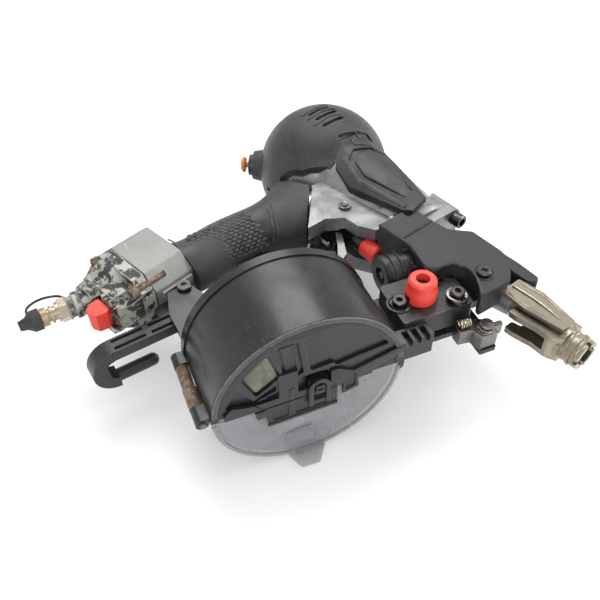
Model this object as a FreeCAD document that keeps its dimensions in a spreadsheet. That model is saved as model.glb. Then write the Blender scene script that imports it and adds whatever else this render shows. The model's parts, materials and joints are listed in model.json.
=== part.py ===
"""Coil nailer lying on its left side: +X runs along the drive axis to the nose, +Z is the tool's
right side and the handle points to -Y. Lengths are millimetres and angles are degrees."""
import FreeCAD, Part
import math
import os
import re
import Sketcher

SIZES = {
    # where the drive axis and the head's top lie in the part's own frame
    "shift_x": -153.0, "shift_y": 107.5, "shift_z": 63.0,
    # ball-shaped head and its elastomer cover
    "ball_x": 51.0, "cover_radius": 51.5, "cover_wall": 3.2, "cover_end_x": 87.0,
    # barrel of the body
    "body_top_x": 42.0, "body_ball_radius": 47.8, "shoulder_x": 80.5, "shoulder_radius": 37.6,
    "barrel_radius": 32.3, "muzzle_radius": 28.5, "body_end_x": 166.0,
    "chamber_radius": 34.0, "liner_radius": 20.0, "bore_radius": 17.6,
    "liner_top_x": 48.0, "bumper_x": 143.0, "bumper_end_x": 158.0,
    "cheek_half": 21.0, "trigger_slot_half": 9.5, "flange_half": 24.0,
    "bolt_y": 19.0, "bolt_z": 17.5, "bolt_boss_radius": 6.4,
    # piston and blade
    "piston_x": 50.0, "piston_length": 13.0, "blade_radius": 2.8, "blade_tip_x": 228.0,
    # handle, in its own frame that runs rearward along the grip
    "handle_x": 90.3, "handle_turn": -95.71, "grip_radius": 19.4, "tube_radius": 15.0,
    "tube_bore": 11.0, "grip_end": 162.0,
    # tail: end block, gasket, cap
    "tail_x": 71.0, "tail_y": -187.0, "tail_turn": -82.0, "tail_half_width": 27.5,
    "tail_half_height": 21.0, "block_length": 31.0, "cap_length": 33.0, "gasket_length": 1.2,
    # air plug
    "plug_x": 67.0, "plug_y": -221.5, "plug_turn": -98.0, "strap_radius": 0.9,
    # magazine drum, in its own frame that runs along the drum's axis
    "drum_x": 162.7, "drum_y": -134.0, "drum_turn": -16.4, "drum_radius": 62.0,
    "drum_length": 58.0, "drum_wall": 2.4, "band_radius": 63.0, "hinge_y": -66.5,
    "hinge_radius": 4.2, "pin_radius": 1.9, "split_gap": 0.6,
    # nail guide beside the drum
    "guide_x": 12.0, "guide_end_x": 48.0, "guide_y": 62.6, "guide_end_y": 117.0,
    "guide_top": 20.0, "channel_half": 3.5,
    # door under the guide, and its latch
    "door_pin_radius": 2.0, "door_eye_radius": 4.4, "latch_x": 60.0, "latch_y": 121.0,
    # stop cap on the guide
    "cap_t": 31.0, "cap_s": 88.0,
    # feed cylinder
    "feed_x": -2.4, "feed_y": 76.4, "feed_z": 13.0, "feed_radius": 11.5,
    # nose
    "nose_half": 10.5, "nose_end_x": 250.0, "nose_tip_x": 281.0, "nose_tip_radius": 6.5,
    "cover_screw_x": 234.0, "cover_screw_y": -20.0, "guard_screw_x": 192.0,
    "nail_bore": 3.4, "foot_bore": 6.9, "foot_radius": 10.5, "foot_end_x": 306.5,
    # lug of the end block that carries the drum's bracket
    "lug_t": -17.0, "lug_s": 35.0, "lug_drop": 1.6,
    # trigger
    "valve_y": -56.0, "trigger_x": 119.0, "trigger_y": -36.5, "trigger_half": 8.5,
    # hook, in the handle's frame
    "hook_screw_t": -17.0, "hook_s": 42.0, "hook_arm_z": -6.0, "hook_rod_z": -31.0,
    "hook_bend_t": 224.0, "hook_rod_radius": 4.5,
    # adjuster
    "adjust_y": -39.5, "adjust_z": 3.0, "knob_radius": 7.0,
}

FRAMES = {
    "tool": ("shift_x", "shift_y", "shift_z", 0.0),
    "handle": ("shift_x + handle_x", "shift_y", "shift_z", "handle_turn"),
    "tail": ("shift_x + tail_x", "shift_y + tail_y", "shift_z", "tail_turn"),
    "plug": ("shift_x + plug_x", "shift_y + plug_y", "shift_z + 2", "plug_turn"),
    "magazine": ("shift_x + drum_x", "shift_y + drum_y", "shift_z", "drum_turn"),
    "duster": ("shift_x + ball_x", "shift_y", "shift_z", 225.0),
}
TURNS = {
    "X": FreeCAD.Rotation(),
    "Y": FreeCAD.Rotation(FreeCAD.Vector(0, 0, 1), 90),
    "Z": FreeCAD.Rotation(FreeCAD.Vector(0, 1, 0), -90),
}
PLANES = { "XY": FreeCAD.Rotation(), "YZ": FreeCAD.Rotation(FreeCAD.Vector(0, 1, 0),
                                                            FreeCAD.Vector(0, 0, 1),
                                                            FreeCAD.Vector(1, 0, 0), "ZXY"),
          "ZX": FreeCAD.Rotation(FreeCAD.Vector(0, 0, 1), FreeCAD.Vector(1, 0, 0),
                                 FreeCAD.Vector(0, 1, 0), "ZXY"), }

doc = FreeCAD.newDocument("coil_nailer")
sheet = doc.addObject("Spreadsheet::Sheet", "dims")
for row, (word, number) in enumerate(SIZES.items(), start=1):
    sheet.set(f"A{row}", word)
    sheet.set(f"B{row}", str(number))
    sheet.setAlias(f"B{row}", word)
doc.recompute()
PARTS = []
ARC_SHARE = 0.45
HINGE_STRETCHES = ((2, 12), (46, 57.5))
GUIDE_BOLT_SPOTS = [(31.5, 72.6, 0), (41, 108.5, 0)]
TAIL_BOLT_SPOTS = [(y, z) for y in (-21, 21) for z in (-15, 15)]
HEAD_BOLT_SPOTS = [(y, z) for y in (-26, 26) for z in (-23, 23)]
NOSE_BOLT_SPOTS = [(0, f"{y} * bolt_y", f"{z} * bolt_z") for y in (-1, 1) for z in (-1, 1)]
TRIGGER_SPOT = ("trigger_x", "trigger_y", 0)
VALVE_SPOT = (0, "valve_y", 0)
HOOK_SCREW_SPOT = ("hook_screw_t", 0, "hook_arm_z - 4")
COVER_SCREW_SPOT = ("cover_screw_x", "cover_screw_y", 0)
GUARD_SCREW_SPOT = ("guard_screw_x", 0, 0)
LATCH_SPOT = ("latch_x", "latch_y", 0)
DOOR_SPOT = (0, "guide_y + 3.6", -9.4)
ADJUSTER_SPOT = (0, "adjust_y", "adjust_z")


def bound(expression):
    """The expression with each sheet word written as a reference to the sheet."""
    return re.sub(r"[a-z]\w+", lambda word: "dims." + word.group() if word.group() in SIZES
                  else word.group(), str(expression))


def value(expression):
    return float(sheet.evalExpression(str(expression)))


def bind(feature, path, expression):
    feature.setExpression(path, bound(expression))


def place(feature, path, at):
    for letter, expression in zip("xyz", at):
        bind(feature, f"{path}.Base.{letter}", expression)


def outline(body, points, rotation, at):
    """A closed sketch. A point is (u, v), or (u, v, radius) when an arc runs from it to the next
    point; a positive radius turns to the left on the way."""
    sketch = body.newObject("Sketcher::SketchObject", "outline")
    plane = [item for item in body.Origin.OriginFeatures if item.Role == "XY_Plane"][0]
    sketch.AttachmentSupport = (plane, [""])
    sketch.MapMode = "FlatFace"
    sketch.AttachmentOffset = FreeCAD.Placement(FreeCAD.Vector(), rotation)
    place(sketch, "AttachmentOffset", at)
    corners = [FreeCAD.Vector(value(point[0]), value(point[1]), 0) for point in points]
    ends = []
    for index, point in enumerate(points):
        start, stop = corners[index], corners[(index + 1) % len(points)]
        if len(point) == 2:
            sketch.addGeometry(Part.LineSegment(start, stop))
            ends.append((1, 2))
            continue
        radius = value(point[2])
        chord = stop - start
        rise = math.sqrt(max(radius * radius - chord.Length ** 2 / 4, 0.0))
        side = FreeCAD.Vector(-chord.y, chord.x, 0).normalize() * math.copysign(rise, radius)
        centre = (start + stop) * 0.5 + side
        first, last = (start, stop) if radius > 0 else (stop, start)
        circle = Part.Circle(centre, FreeCAD.Vector(0, 0, 1), abs(radius))
        angles = [math.atan2(spot.y - centre.y, spot.x - centre.x) for spot in (first, last)]
        sketch.addGeometry(Part.ArcOfCircle(circle, angles[0], angles[1]))
        ends.append((1, 2) if radius > 0 else (2, 1))
        sketch.addConstraint(Sketcher.Constraint("Radius", index, abs(radius)))
        bind(sketch, f"Constraints[{sketch.ConstraintCount - 1}]", f"abs({point[2]})")
    for index, point in enumerate(points):
        follower = (index + 1) % len(points)
        sketch.addConstraint(Sketcher.Constraint("Coincident", index, ends[index][1],
                                                 follower, ends[follower][0]))
        for kind, expression in (("DistanceX", point[0]), ("DistanceY", point[1])):
            sketch.addConstraint(Sketcher.Constraint(kind, -1, 1, index, ends[index][0],
                                                     value(expression)))
            bind(sketch, f"Constraints[{sketch.ConstraintCount - 1}]", expression)
    return sketch


def turned(points, axis="X", at=(0, 0, 0)):
    """A revolved body: points are (distance along the axis, radius)."""
    body = doc.addObject("PartDesign::Body", "turned")
    sketch = outline(body, points, TURNS[axis], at)
    turn = body.newObject("PartDesign::Revolution", "turn")
    turn.Profile = sketch
    turn.ReferenceAxis = (sketch, ["H_Axis"])
    doc.recompute()
    return body


def tube(start, stop, outer, inner=0, axis="X", at=(0, 0, 0)):
    return turned([(start, inner), (stop, inner), (stop, outer), (start, outer)], axis, at)


def padded(points, length, plane="XY", at=(0, 0, 0), rounding=None):
    """An extruded body, with the edges along the extrusion rounded where a radius is given."""
    body = doc.addObject("PartDesign::Body", "padded")
    sketch = outline(body, points, PLANES[plane], at)
    pad = body.newObject("PartDesign::Pad", "pad")
    pad.Profile = sketch
    bind(pad, "Length", length)
    doc.recompute()
    if rounding is not None:
        along = {"XY": FreeCAD.Vector(0, 0, 1), "YZ": FreeCAD.Vector(1, 0, 0),
                 "ZX": FreeCAD.Vector(0, 1, 0)}[plane]
        names = [f"Edge{index}" for index, edge in enumerate(pad.Shape.Edges, start=1)
                 if edge.Curve.TypeId == "Part::GeomLine"
                 and abs(abs(edge.tangentAt(edge.FirstParameter).dot(along)) - 1) < 1e-6]
        fillet = body.newObject("PartDesign::Fillet", "rounding")
        fillet.Base = (pad, names)
        bind(fillet, "Radius", rounding)
        doc.recompute()
    return body


def box(low, high, rounding=None, plane="XY"):
    """A block between two corners, extruded along the plane's normal."""
    first, second, third = {"XY": (0, 1, 2), "YZ": (1, 2, 0), "ZX": (2, 0, 1)}[plane]
    points = [(low[first], low[second]), (high[first], low[second]),
              (high[first], high[second]), (low[first], high[second])]
    at = [0, 0, 0]
    at[third] = low[third]
    return padded(points, f"({high[third]}) - ({low[third]})", plane, at, rounding)


def joined(*features):
    if len(features) == 1:
        return features[0]
    fusion = doc.addObject("Part::MultiFuse", "joined")
    fusion.Shapes = list(features)
    fusion.Refine = True
    doc.recompute()
    return fusion


def grouped(*features):
    group = doc.addObject("Part::Compound", "grouped")
    group.Links = list(features)
    doc.recompute()
    return group


def cut(base, *tools):
    result = doc.addObject("Part::Cut", "cut")
    result.Base = base
    result.Tool = joined(*tools)
    result.Refine = True
    doc.recompute()
    return result


def common(base, tool):
    result = doc.addObject("Part::Common", "common")
    result.Base = base
    result.Tool = tool
    doc.recompute()
    return result


def finish(name, feature, frame="tool"):
    """Names the sub-part and places its frame in the part."""
    x, y, z, turn = FRAMES[frame]
    feature.Label = name
    rotation = FreeCAD.Rotation(FreeCAD.Vector(0, 0, 1), value(turn))
    feature.Placement = FreeCAD.Placement(FreeCAD.Vector(), rotation)
    place(feature, "Placement", (x, y, z))
    if not isinstance(turn, float):
        bind(feature, "Placement.Rotation.Angle", f"{turn} * 1deg")
    doc.recompute()
    PARTS.append(feature)


def bolt(start, shank, head, at, axis="X", radius=2.5, head_radius=4.3, socket=2.2):
    """A cap screw whose head follows its shank along the axis; start and at place it."""
    neck, top = f"({start}) + ({shank})", f"({start}) + ({shank}) + ({head})"
    screw = turned([(start, 0), (f"{top} - {head} * 0.55", 0), (f"{top} - {head} * 0.55", socket),
                    (top, socket), (top, f"{head_radius} - 0.5"), (f"{top} - 0.5", head_radius),
                    (neck, head_radius), (neck, radius), (start, radius)], axis, at)
    return screw


def frame_placement(frame):
    """Where a frame lies when the tool's own frame is at the origin."""
    x, y, z, turn = FRAMES[frame]
    spot = [value(word) - value(shift) for word, shift in zip((x, y, z),
                                                              ("shift_x", "shift_y", "shift_z"))]
    return FreeCAD.Placement(FreeCAD.Vector(*spot), FreeCAD.Rotation(FreeCAD.Vector(0, 0, 1),
                                                                     value(turn)))


def carried(feature, source, target="tool"):
    """The feature of one frame, placed for use inside another."""
    feature.Placement = frame_placement(target).inverse() * frame_placement(source)
    return feature


def tilted(feature, origin_x, angle, axis=(0, 0, 1)):
    """The feature turned about an axis through a point of the drive axis."""
    rotation = FreeCAD.Rotation(FreeCAD.Vector(*axis), angle)
    feature.Placement = FreeCAD.Placement(FreeCAD.Vector(), rotation)
    bind(feature, "Placement.Base.x", origin_x)
    return feature


# ---------------------------------------------------------------- head

def make_head_cover():
    inner = "(cover_radius - cover_wall)"
    edge = "sqrt(cover_radius ^ 2 - (cover_end_x - ball_x) ^ 2)"
    inner_edge = f"sqrt({inner} ^ 2 - (cover_end_x - ball_x) ^ 2)"
    shell = turned([("ball_x - cover_radius", 0, "-cover_radius"), ("ball_x", "cover_radius",
                                                                    "-cover_radius"),
                    ("cover_end_x", edge), ("cover_end_x", inner_edge, inner), ("ball_x", inner, inner),
                    (f"ball_x - {inner}", 0)])
    below_edge = padded([(57, -70), (57, -48), (63, -43), (72, -38), (80, -29), (84, -24), (89, -22),
                         (73.4, -4.6), (77.4, 20.8), (84, 23), (84, 60), (140, 60), (140, -70)], 140,
                        "XY", (0, 0, -70))
    boss = turned([(45, 0), (57.5, 0), (57.5, 11.5), (45, 14)])
    hollow = turned([(f"ball_x - {inner}", 0, f"-{inner}"), ("ball_x", inner), ("ball_x", 0)])
    stem_hole = tilted(tube(40, 60, 6.2), "ball_x", 225)
    slots = [tilted(box((-1.6, -10, 40), (1.6, 11, 60), 1.5), "ball_x", -8 + 10 * index, (0, 1, 0))
             for index in range(3)]
    rear_slot = tilted(box((-7, 40, -1.5), (9, 60, 1.5)), "ball_x", 180)
    boss = cut(tilted(boss, "ball_x", 225), hollow)
    barrel_room = tube(76, 100, "shoulder_radius + 0.5")
    finish("head_cover", cut(joined(cut(shell, below_edge), boss), stem_hole, rear_slot, barrel_room,
                             *slots))


def make_cylinder_head():
    cap = turned([(14, 0), (14, 19), (22, 31), (31, 39.5), (41.7, 43.8), (41.7, 26.3), (28, 26.3),
                  (28, 0)])
    holes = [tube(10, 50, 3.6, 0, "X", (0, y, z)) for y, z in HEAD_BOLT_SPOTS]
    finish("cylinder_head", cut(cap, *holes))


def make_head_valve():
    finish("head_valve", turned([(32.5, 14), (36, 14), (36, 18), (47.7, 16), (47.7, 20), (44, 26),
                                 (32.5, 26)]))


def make_head_valve_spring():
    finish("head_valve_spring", tube(28.2, 32.3, 24, 20))


def make_head_bolts():
    """Four screws that hold the cylinder head to the body, under the cover."""
    profile = [(24, 0), (24, 3.4), (29, 3.4), (29, 2), (41.6, 2), (41.6, 0)]
    finish("head_bolts", grouped(*[turned(profile, "X", (0, y, z)) for y, z in HEAD_BOLT_SPOTS]))


def make_duster():
    collar = tube(57.8, 61, 8.6, 2.6)
    stem = turned([(44.5, 2.6), (57.9, 2.6), (57.9, 6), (44.5, 6)])
    finish("duster_collar", joined(collar, stem), "duster")
    finish("duster_button", turned([(46, 0), (64, 0), (64, 0.01), (68, 0.01), (68, 3.5, 4),
                                    (65.5, 6.6, 1.6), (64, 5), (64, 2.3), (46, 2.3)]), "duster")


# ---------------------------------------------------------------- body and cylinder

def make_body_housing():
    barrel = turned([("body_top_x", "chamber_radius"), ("shoulder_x", "chamber_radius - 0.5"), (96, 31.5),
                     (120, 28.3), (140, 24.5), (146, "liner_radius + 0.05"),
                     ("bumper_end_x + 0.2", "liner_radius + 0.05"), ("bumper_end_x + 0.2", 7),
                     ("body_end_x", 7), ("body_end_x", "muzzle_radius - 2"), (162, "muzzle_radius"),
                     (148, "muzzle_radius"), (120, "barrel_radius"), (95, 36.2),
                     ("shoulder_x", "shoulder_radius", "body_ball_radius"),
                     ("body_top_x", "sqrt(body_ball_radius ^ 2 - (ball_x - body_top_x) ^ 2)")])
    chamber = turned([(30, 0), ("body_top_x", "chamber_radius"), ("shoulder_x", "chamber_radius - 0.5"),
                      (96, 31.5), (120, 28.3), (140, 24.5), (146, "liner_radius + 0.05"),
                      ("bumper_end_x + 0.2", "liner_radius + 0.05"), ("bumper_end_x + 0.2", 0)])
    cheeks = padded([(84, -20), (84, -39), (91, -44.6), (120.5, -72), (120.5, -56), (128.5, -44.5),
                     (140.5, -43.5), (152, -37), (158, -20)], "2 * cheek_half", "XY",
                    (0, 0, "-cheek_half"))
    slot = box((106, -90, "-trigger_slot_half"), (170, "-barrel_radius - 0.6", "trigger_slot_half"))
    adjuster_room = box((126, -70, "adjust_z - 8"), (172, "adjust_y + 8", "adjust_z + 8"))
    valve_hole = tube(100.8, 125, 9.3, 0, "X", VALVE_SPOT)
    pin_hole = tube(-30, 30, 2.55, 0, "Z", TRIGGER_SPOT)
    flange = box((152, "-flange_half", "-flange_half"), ("body_end_x", "flange_half", "flange_half"), 5,
                 "YZ")
    bosses = [tube(150, "body_end_x", "bolt_boss_radius", 0, "X", spot) for spot in NOSE_BOLT_SPOTS]
    taps = [tube(156, 170, 2.55, 0, "X", spot) for spot in NOSE_BOLT_SPOTS]
    muzzle = tube(140, 170, 7)
    handle_seat = tilted(tube(20, 60, "tube_radius + 0.02"), "handle_x", value("handle_turn"))
    shape = cut(joined(barrel, cheeks, flange, *bosses), chamber, slot, adjuster_room, valve_hole,
                pin_hole, muzzle, handle_seat, *taps)
    finish("body_housing", shape)


def make_cylinder_parts():
    finish("cylinder_liner", tube("liner_top_x", "bumper_end_x", "liner_radius", "bore_radius"))
    finish("bumper", turned([("bumper_x", 4), ("bumper_x", "bore_radius - 3"),
                             ("bumper_x + 4", "bore_radius - 0.2"), ("bumper_end_x - 0.1",
                                                                     "bore_radius - 0.2"),
                             ("bumper_end_x - 0.1", 4)]))
    groove = "piston_x + 5"
    finish("piston", turned([("piston_x", 0), ("piston_x", "bore_radius - 0.5"),
                             (groove, "bore_radius - 0.5"), (groove, "bore_radius - 3"),
                             (f"{groove} + 3.2", "bore_radius - 3"), (f"{groove} + 3.2",
                                                                      "bore_radius - 0.5"),
                             ("piston_x + piston_length", "bore_radius - 0.5"),
                             ("piston_x + piston_length", 0)]))
    finish("piston_ring", tube(f"{groove} + 0.1", f"{groove} + 3.1", "bore_radius - 0.15",
                               "bore_radius - 2.9"))
    tip = "blade_tip_x"
    finish("driver_blade", turned([("piston_x + piston_length", 0), ("piston_x + piston_length",
                                                                     "blade_radius"),
                                   (tip, "blade_radius"), (tip, 0)]))


def make_side_protectors():
    """A plate on each side of the barrel, with its raised frame."""
    for side, name in ((1, "side_protector_right"), (-1, "side_protector_left")):
        ring = [(74, -4), (78, 20), (91, 22), (160, 3), (162, -12), (156, -16), (110, -25), (90, -21)]
        plate = padded(ring, 42, "XY", (0, 0, 0 if side > 0 else -42))
        skin = turned([(70, 47.0), (82, 40), (96, 38.6), (165, 34), (165, 30.5),
                       (120, "barrel_radius + 0.15"), (95, 36.35), ("shoulder_x", 38.3), (70, 44.7)])
        recess = padded([(88, -2), (93, 12), (148, 1), (150, -8), (112, -18), (95, -15)], 60, "XY",
                        (0, 0, 0 if side > 0 else -60))
        deep = turned([(60, 0), (60, 46.5), (82, 38.8), (96, 37.2), (165, 32.8), (165, 0)])
        finish(name, cut(common(skin, plate), cut(recess, deep)))


# ---------------------------------------------------------------- handle and tail

def tail_outline():
    width, height = "tail_half_width", "tail_half_height"
    return [(f"-{width}", f"-{height} + 6"), (f"-{width} + 7", f"-{height}"),
            (f"{width} - 7", f"-{height}"), (width, f"-{height} + 8"), (width, f"{height} - 11"),
            (f"{width} - 11", height), (f"-{width} + 8", height), (f"-{width}", f"{height} - 7")]


def make_handle_housing():
    finish("handle_tube", tube(39, "grip_end", "tube_radius", "tube_bore"), "handle")
    block = padded(tail_outline(), "block_length", "YZ", ("-block_length", 0, 0), 3)
    hollow = box((-14, -16, -14), (5, 16, 14), 5, "YZ")
    bore = carried(tube(140, 190, "tube_radius + 0.05"), "handle", "tail")
    rib = box(("-block_length + 2", "tail_half_width - 3", 3), (-4, "tail_half_width + 2.2", 8))
    lug = box(("lug_t - 8", "tail_half_width - 4", "lug_drop - 6"), ("lug_t + 8", "lug_s + 8",
                                                                     "lug_drop"))
    lug_tap = tube(-8, 8, 2.25, 0, "Z", ("lug_t", "lug_s", 0))
    hook_tap = tube(10, 40, 2.35, 0, "Y", HOOK_SCREW_SPOT)
    taps = [tube(-13, 2, 2.25, 0, "X", (0, y, z)) for y, z in TAIL_BOLT_SPOTS]
    finish("end_block", cut(joined(block, rib, lug), hollow, bore, lug_tap, hook_tap, *taps), "tail")


def oval(t, offset, along, across):
    """An ellipse across the handle: t along it, half-sizes along the drive axis and across."""
    ring = doc.addObject("Part::Ellipse", "oval")
    wide = value(along) >= value(across)
    bind(ring, "MajorRadius", along if wide else across)
    bind(ring, "MinorRadius", across if wide else along)
    direction = FreeCAD.Vector(0, 1, 0) if wide else FreeCAD.Vector(0, 0, 1)
    ring.Placement = FreeCAD.Placement(FreeCAD.Vector(), FreeCAD.Rotation(
        direction, FreeCAD.Vector(), FreeCAD.Vector(1, 0, 0), "ZXY"))
    place(ring, "Placement", (t, offset, 0))
    return ring


def make_grip():
    loft = doc.addObject("Part::Loft", "sleeve_loft")
    loft.Sections = [oval(*section) for section in ((30, -6, 40, 23), (52, -4, 34, 22.5),
                                                    (70, 0, 25.5, 21), (88, 0, 20.5, "grip_radius + 0.4"),
                                                    (120, 0, "grip_radius", "grip_radius - 0.6"),
                                                    ("grip_end", 0, "grip_radius + 0.8", "grip_radius"))]
    loft.Solid = True
    doc.recompute()
    tool_turn = tilted(loft, "handle_x", value("handle_turn"))
    reach = padded([(30, -54), (60, -52.2), (68, -49), (77, -45.6), (84, -42), (89, -45.4), (121, -75.5),
                    (124, -75.5), (124, -170), (30, -170)], 80, "XY", (0, 0, -40))
    inner = tilted(tube(20, 175, "tube_radius + 0.1"), "handle_x", value("handle_turn"))
    valve_room = tube(98, 130, 9.8, 0, "X", VALVE_SPOT)
    behind = carried(box(("-block_length - 0.3", -60, -60), (40, 60, 60)), "tail")
    finish("grip", cut(common(tool_turn, reach), inner, valve_room, behind))


def make_tail_parts():
    shanks = [tube(-14, 60, 2.6, 0, "X", (0, y, z)) for y, z in TAIL_BOLT_SPOTS]
    hollow = box((-14, -15, -14), (20, 15, 14), 5, "YZ")
    gasket = padded(tail_outline(), "gasket_length", "YZ", (0, 0, 0), 3)
    finish("end_gasket", cut(gasket, hollow, *shanks), "tail")
    start = "gasket_length"
    plate = padded(tail_outline(), 9, "YZ", (start, 0, 0), 3)
    dome = turned([(start, 0), (start, 22), ("gasket_length + 14", 19.5), ("cap_length - 7", 13),
                   ("cap_length", 12), ("cap_length", 0)], "X", (0, -9, 1))
    wing = padded([(start, -25), (14, -25), (26, -20), (26, 20), (18, 26), (start, 27)], 30, "XY",
                  (0, 0, -15), 2)
    fingers = [box((20, y, 10), (29, y + 2, 14.6)) for y in (6.5, 10.5, 14.5, 18.5)]
    toe = box((20, 4, -15), (31, 21, -8), 2)
    heads = [tube("gasket_length + 9", 60, 5.4, 0, "X", (0, y, z)) for y, z in TAIL_BOLT_SPOTS]
    seat = carried(tube(-6, 40, 9), "plug", "tail")
    lever_room = box((26.3, -3.5, -9), (60, 18, 9.4))
    lever_hole = tube(16, 60, 2.6, 0, "X", (0, 9, 0))
    cap = joined(plate, wing, *fingers, toe, dome)
    finish("end_cap", cut(cap, hollow, seat, lever_room, lever_hole, *shanks, *heads), "tail")
    finish("end_bolts", grouped(*[bolt(-12, "gasket_length + 21.2", 5, (0, y, z), "X", 2.2, 4.4, 2.1)
                                  for y, z in TAIL_BOLT_SPOTS]), "tail")
    finish("intake_filter", tube(-12.5, 0.5, 9, 5), "tail")
    paddle = padded([(29.5, 2.5), (36, 2.5), (41, 5), (42, 10), (40, 15), (33, 17), (29.5, 15)], 15, "XY",
                    (0, 0, -5.5), 1.2)
    neck_room = carried(tube(-10, 40, 9.4), "plug", "tail")
    finish("selector_lever", cut(joined(paddle, tube(22, 31, 2.3, 0, "X", (0, 9, 0))), neck_room), "tail")


def make_air_plug():
    finish("swivel_neck", turned([(-5.8, 0), (-5.8, 8.6), (4, 8.6), (4, 9.2), (8, 9.2), (8, 7.4),
                                  (10.6, 7.4), (11.6, 8.6), (12.3, 8.6), (12.3, 6.5), (10, 6.5),
                                  (10, 0)]), "plug")
    hexagon = padded([(8.4 * math.cos(math.radians(60 * index)), 8.4 * math.sin(math.radians(60 * index)))
                      for index in range(6)], 5.5, "YZ", (12.5, 0, 0))
    barrel = turned([(10, 0), (10, 6.4), (12.6, 6.4), (12.6, 7), (20, 7), (20, 5), (22.4, 5), (22.4, 6.2),
                     (24, 6.2), (24, 4.6), (26, 4.6), (26, 6.4), (30, 6.4), (30, 4.2), (32, 3.8),
                     (32, 0)])
    bore = tube(14, 40, 2.3)
    finish("air_plug", cut(joined(hexagon, barrel), bore), "plug")
    finish("dust_cap", turned([(30.3, 4.5), (34, 4.5), (34, 0), (44, 0), (45, 3.2), (40, 4.4),
                               (38.5, 5.6), (36, 7.4), (30.3, 7.4)]), "plug")


def make_strap():
    """The dust cap's lanyard: straight runs joined by arcs as large as the runs allow."""
    route = [(37.2, -7.0), (38, -12), (33, -16.5), (25, -18), (17, -16), (12.4, -13), (12, -9)]
    spots = [FreeCAD.Vector(x, y, 0) for x, y in route]
    edges = []
    last = spots[0]
    for before, corner, after in zip(spots, spots[1:], spots[2:]):
        inward, outward = (before - corner).normalize(), (after - corner).normalize()
        half_turn = (math.pi - inward.getAngle(outward)) / 2
        reach = ARC_SHARE * min((before - corner).Length, (after - corner).Length)
        radius = reach / math.tan(half_turn)
        middle = corner + (inward + outward).normalize() * (math.hypot(radius, reach) - radius)
        edges.append(Part.LineSegment(last, corner + inward * reach).toShape())
        edges.append(Part.Arc(corner + inward * reach, middle, corner + outward * reach).toShape())
        last = corner + outward * reach
        print(f"strap arc radius {radius:.1f}")
    edges.append(Part.LineSegment(last, spots[-1]).toShape())
    path = Part.Wire(edges)
    section = Part.Wire(Part.makeCircle(value("strap_radius"), spots[0], spots[1] - spots[0]))
    strap = doc.addObject("Part::Feature", "strap")
    strap.Shape = path.makePipeShell([section], True, False)
    full = math.pi * value("strap_radius") ** 2 * path.Length
    print(f"strap length {path.Length:.1f}, volume over section times length {strap.Shape.Volume / full:.3f}")
    finish("dust_cap_strap", strap, "plug")


def make_hook():
    """A belt hook beside the handle's end: grooved flat arm, return bend and round rod."""
    bend_t = "hook_bend_t"
    bar = box((168, "hook_s - 7", "hook_arm_z - 4"), (bend_t, "hook_s + 7", "hook_arm_z + 4"), 1.5, "YZ")
    grooves = [box((first, f"hook_s + {offset}", "hook_arm_z + 2"), (last, f"hook_s + {offset} + 2.6",
                                                                     "hook_arm_z + 6")) for first,
               last in ((174, 196), (200, 222)) for offset in (-4.6, 2)]
    outer = "((hook_arm_z - hook_rod_z + 8.5) / 2)"
    inner = "((hook_arm_z - hook_rod_z - 8.5) / 2)"
    centre = "((hook_arm_z + hook_rod_z - 0.5) / 2)"
    hoop = tube("hook_s - 6", "hook_s + 6", outer, inner, "Y", (bend_t, 0, centre))
    rear_half = box((bend_t, "hook_s - 9", "hook_rod_z - 12"), (270, "hook_s + 9", "hook_arm_z + 12"))
    rod = turned([(194.5, 0, "-hook_rod_radius"), ("194.5 + hook_rod_radius", "hook_rod_radius"),
                  (bend_t, "hook_rod_radius"), (bend_t, 0)], "X", (0, "hook_s", "hook_rod_z"))
    foot = box((168, 22, "hook_arm_z - 8"), (186, "hook_s - 5", "hook_arm_z + 4"))
    block_side = carried(box((-60, -60, -60), (40, "tail_half_width + 0.3", 60)), "tail", "handle")
    lug_side = carried(box(("lug_t - 9", 0, "lug_drop - 9"), ("lug_t + 9", "lug_s + 9", 20)), "tail",
                       "handle")
    screw_way = carried(tube(20, 70, 2.6, 0, "Y", HOOK_SCREW_SPOT), "tail", "handle")
    head_way = carried(tube(37, 70, 4.8, 0, "Y", HOOK_SCREW_SPOT), "tail", "handle")
    shape = joined(bar, common(hoop, rear_half), rod, foot)
    finish("hook", cut(shape, block_side, lug_side, screw_way, head_way, *grooves), "handle")


# ---------------------------------------------------------------- trigger and adjuster

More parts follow.
